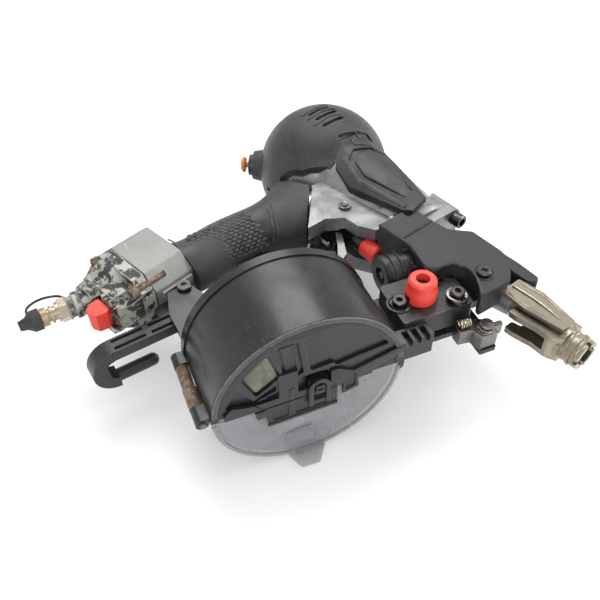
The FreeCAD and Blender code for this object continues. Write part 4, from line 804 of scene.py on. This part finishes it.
def make_foot_ridges():
    """The long rib and the two side ribs on the contact foot, and the fine rings of its tip."""
    body = body_under("contact_foot")
    ribs = {
        "foot_rib": ([(245, 0.4, 14.0), (256, 1.4, 14.3), (270, 1.2, 14.2), (282, 0.2, 13.6),
                      (289, 0, 12.6)], 1.3),
        "foot_rib_near": ([(247, -6.6, 13.8), (262, -7.8, 13.8), (276, -6.6, 13.6),
                           (287, -5.2, 12.6)], 0.8),
        "foot_rib_far": ([(247, 6.6, 13.8), (262, 8.8, 13.8), (276, 7.4, 13.6),
                          (287, 5.2, 12.6)], 0.8),
    }
    for name, (points, radius) in ribs.items():
        settled(bead(name, points, radius), TOOL, body, "foot_nickel")
    for index, (x, radius) in enumerate(((296.0, 10.5), (303.6, 10.5))):
        ring = [(x, y, z) for y, z in arc(radius, 0, 345, 24)]
        settled(bead(f"tip_ring_{index + 1}", ring, 0.5, closed=True), TOOL, body, "foot_nickel")


# ------------------------------------------------------------------ springs and the cap's strap

def make_springs():
    """Wound wire in place of the two springs that show."""
    start, stop, wire = 194.0, 238.6, 0.55
    spring = bead("push_spring_wire", coil_points(15, start + wire, stop - wire, 2.6), wire)
    settled(spring, local_frame(0, -7, 0, 17), body_under("push_spring"), "bare_steel")
    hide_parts("push_spring")
    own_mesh(spring)
    turn = Matrix.Translation(Vector((53.5, 0, 9.2)) * MM) @ Matrix.Rotation(math.radians(90), 4, "Z")
    catch = bead("latch_spring_wire", coil_points(6, 104.9, 112.6, 2.9), 0.45)
    settled(catch, MAGAZINE @ turn, body_under("latch_spring"), "plug_brass")
    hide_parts("latch_spring")


STRAP_ROUTE = [(37.2, -7.0), (38, -12), (33, -16.5), (25, -18), (17, -16), (12.4, -13), (12, -9)]
STRAP_DIAMETER = 1.8


def make_strap():
    """The dust cap's lanyard, from the cap back to the plug's neck."""
    route = [(x, y, 0) for x, y in STRAP_ROUTE]
    line = smooth_line("strap_line", route, resolution=16)
    line.matrix_world = PLUG
    bpy.context.view_layer.update()
    sampled = bpy.data.meshes.new_from_object(line)
    bpy.data.objects.remove(line)
    strap = bead("cap_strap", route, STRAP_DIAMETER / 2, resolution=16, sides=3)
    settled(strap, PLUG, None, "seal_rubber", smooth=60)
    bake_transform(strap)
    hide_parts("dust_cap_strap")


make_drum_face()
make_flange()
make_cover_parts()
make_latch_slide()
make_grip_scales()
make_grip_ridges()
make_head_lines()
make_protector_panel()
make_nose_cover_lines()
make_foot_ridges()
make_springs()
make_strap()


# ------------------------------------------------------------------ floor, light and camera

def make_stage():
    """The pale floor and the even white surroundings."""
    bpy.ops.object.select_all(action="DESELECT")
    bpy.ops.mesh.primitive_plane_add(size=8.0, location=(0, 0, 0))
    floor = bpy.context.object
    floor.name = "floor"
    paint = bpy.data.materials.new("pale_floor")
    paint.use_nodes = True
    shader = paint.node_tree.nodes["Principled BSDF"]
    shader.inputs["Base Color"].default_value = (0.93, 0.93, 0.93, 1)
    shader.inputs["Roughness"].default_value = 0.9
    floor.data.materials.append(paint)
    world = bpy.data.worlds.new("studio")
    world.use_nodes = True
    light = world.node_tree.nodes["Background"]
    light.inputs["Color"].default_value = (1, 1, 1, 1)
    light.inputs["Strength"].default_value = 0.88
    bpy.context.scene.world = world


LIT_SPOT = (0, 0, 0.05)


def make_softbox(name, place, size, power):
    """A round lamp that faces the middle of the tool."""
    lamp = bpy.data.lights.new(name, "AREA")
    lamp.shape = "DISK"
    lamp.size = size
    lamp.energy = power
    holder = bpy.data.objects.new(name, lamp)
    holder.location = place
    holder.rotation_mode = "QUATERNION"
    holder.rotation_quaternion = (Vector(LIT_SPOT) - Vector(place)).to_track_quat("-Z", "Y")
    bpy.context.scene.collection.objects.link(holder)


def make_camera():
    """Stands off to the nose's handle side and above, looking down at the drum."""
    standpoint = tool(422.443, -313.706, 347.806)
    lens = bpy.data.cameras.new("camera")
    lens.lens = 43.085
    lens.sensor_width = 36.0
    lens.clip_start = 0.01
    holder = bpy.data.objects.new("camera", lens)
    right = Vector((0.62210674, 0.78282227, -0.01313392))
    up = Vector((-0.55668185, 0.45406495, 0.69565102))
    back = right.cross(up)
    turn = Matrix((right, up, back)).transposed().to_4x4()
    holder.matrix_world = Matrix.Translation(standpoint) @ turn
    bpy.context.scene.collection.objects.link(holder)
    bpy.context.scene.camera = holder


for item in [thing for thing in bpy.context.scene.objects if thing.type in ("LIGHT", "CAMERA")]:
    bpy.data.objects.remove(item)
make_stage()
make_softbox("key", (-0.55, 0.35, 1.1), 0.9, 9)
make_softbox("fill", (0.9, -0.8, 0.8), 1.0, 7)
make_softbox("rim", (0.3, 1.0, 0.6), 0.6, 6)
make_camera()
bpy.context.scene.view_settings.view_transform = "Standard"
